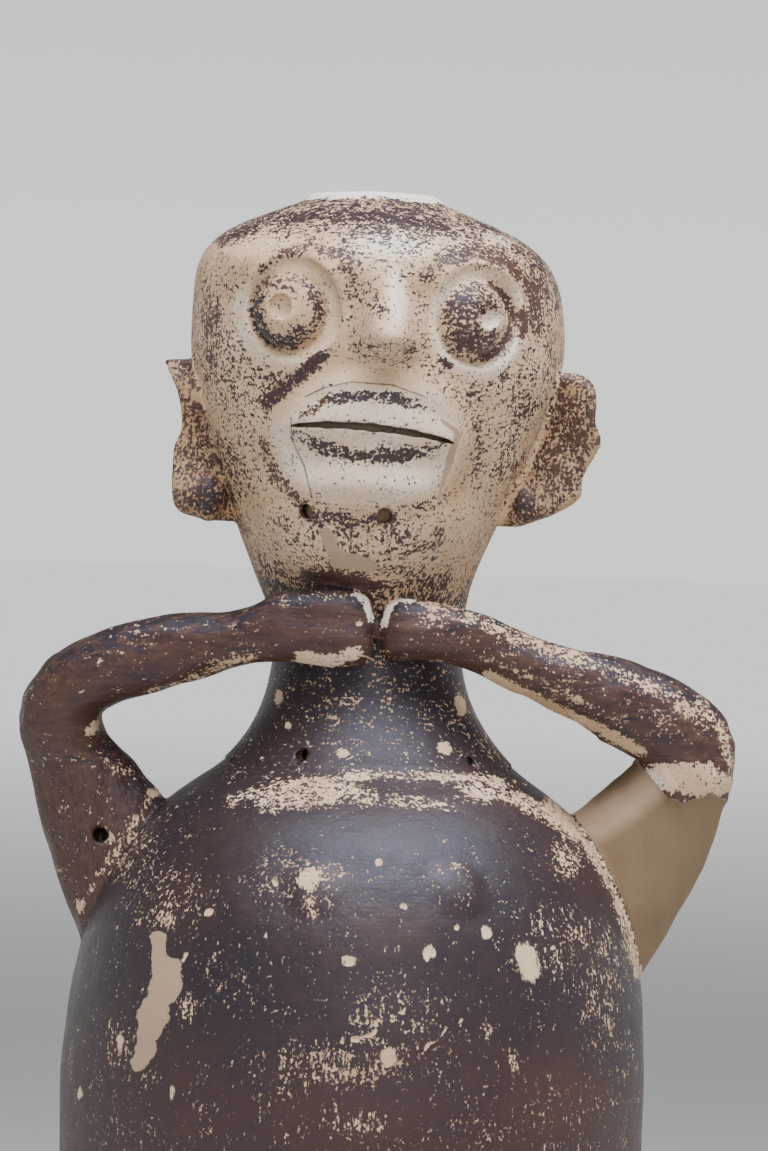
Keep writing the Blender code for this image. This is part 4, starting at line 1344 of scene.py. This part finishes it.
pieces = [buildWall()]
pieces += [buildBoss(eye) for eye in eyes]
pieces += [buildArm("left", -1), buildArm("right", 1), buildEar("left"), buildEar("right")]
pieces += buildEarLumps("left") + buildEarLumps("right")
print("forms built")
vessel = joinPieces(pieces, "vesselClay")
closeUp(vessel)
print("closed up:", len(vessel.data.polygons), "faces")
thin(vessel, turnedForm["triangles"])
print("thinned:", len(vessel.data.polygons), "faces")
weather(vessel)
cutOpenings(vessel)
paintClay(vessel)
for polygon in vessel.data.polygons:
    polygon.use_smooth = True
vessel.data.materials.clear()
vessel.data.materials.append(clayMaterial())
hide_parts("vessel")
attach(vessel, "root")

# Studio.


def addCamera():
    data = bpy.data.cameras.new("camera")
    data.sensor_fit = "VERTICAL"
    data.sensor_height = camera["sensor"]
    data.lens = camera["sensor"] * focus / camera["height"]
    data.clip_end = 20
    item = bpy.data.objects.new("camera", data)
    item.matrix_world = placeAxes(cameraRight, cameraUp, -cameraForward, cameraPlace)
    bpy.context.scene.collection.objects.link(item)
    bpy.context.scene.camera = item


def addLight(lamp):
    data = bpy.data.lights.new(lamp["name"], "AREA")
    data.spread = math.radians(lamp["spread"])
    data.shape = "RECTANGLE"
    data.size, data.size_y = lamp["size"]
    data.energy = lamp["power"]
    data.color = lamp["colour"]
    light = bpy.data.objects.new(lamp["name"], data)
    place = Vector(lamp["place"])
    light.matrix_world = aimZ(Vector(lamp["target"]) - place, place, "-Z")
    light.visible_camera = False
    bpy.context.scene.collection.objects.link(light)


studio = {
    "floorColour": (0.70, 0.70, 0.67),
    "floorRadius": 12.0,
    "glowFrom": 0.9,       # the far floor brightens from here
    "glowOver": 4.5,       # over this length, up to the horizon's light
    "glow": (0.90, 0.92, 0.90),
    "horizon": (1.08, 1.10, 1.07),
    "zenith": (0.055, 0.057, 0.060),
    "bandTop": 0.02,       # the pale band of the room starts to fade at this slope
    "bandFade": 0.36,
    "lights": [
        {"name": "top", "place": (0.14, -0.34, 1.40), "target": (0, 0, 0.40), "size": (1.7, 1.2),
         "power": 18, "spread": 90, "colour": (0.95, 0.96, 1.0)},
        {"name": "key", "place": (0.35, -1.9, 0.95), "target": (0, 0, 0.42), "size": (0.5, 0.5),
         "power": 0.20, "spread": 24, "colour": (1.0, 0.94, 0.87)},
    ],
}


def addWorld():
    world = bpy.data.worlds.new("pale studio")
    world.use_nodes = True
    tree = world.node_tree
    start = Signal(tree, None)
    way = start.node("ShaderNodeTexCoord", {}, output="Generated")
    rise = start.node("ShaderNodeSeparateXYZ", {"Vector": way}, output="Z")
    share = ((rise - studio["bandTop"]) * (1 / studio["bandFade"])).clamped()
    light = share.blend(studio["horizon"], studio["zenith"])
    tree.links.new(light.socket, tree.nodes["Background"].inputs["Color"])
    bpy.context.scene.world = world


def addFloor():
    shape = bmesh.new()
    bmesh.ops.create_circle(shape, segments=96, radius=studio["floorRadius"], cap_ends=True)
    floor = makePiece("floor", shape)
    pale = bpy.data.materials.new("pale floor")
    pale.use_nodes = True
    tree = pale.node_tree
    shader = tree.nodes["Principled BSDF"]
    shader.inputs["Base Color"].default_value = (*studio["floorColour"], 1)
    shader.inputs["Roughness"].default_value = 0.85
    start = Signal(tree, None)
    place = start.node("ShaderNodeTexCoord", {}, output="Object")
    reach = start.node("ShaderNodeVectorMath", {0: place}, output="Value", operation="LENGTH")
    # Painted light: the floor glows, brighter far off, though it is no lamp.
    share = ((reach - studio["glowFrom"]) * (1 / studio["glowOver"])).clamped()
    glow = share.blend((0.0, 0.0, 0.0), studio["glow"])
    tree.links.new(glow.socket, shader.inputs["Emission Color"])
    shader.inputs["Emission Strength"].default_value = 1.0
    floor.data.materials.append(pale)


addCamera()
addWorld()
addFloor()
for lamp in studio["lights"]:
    addLight(lamp)
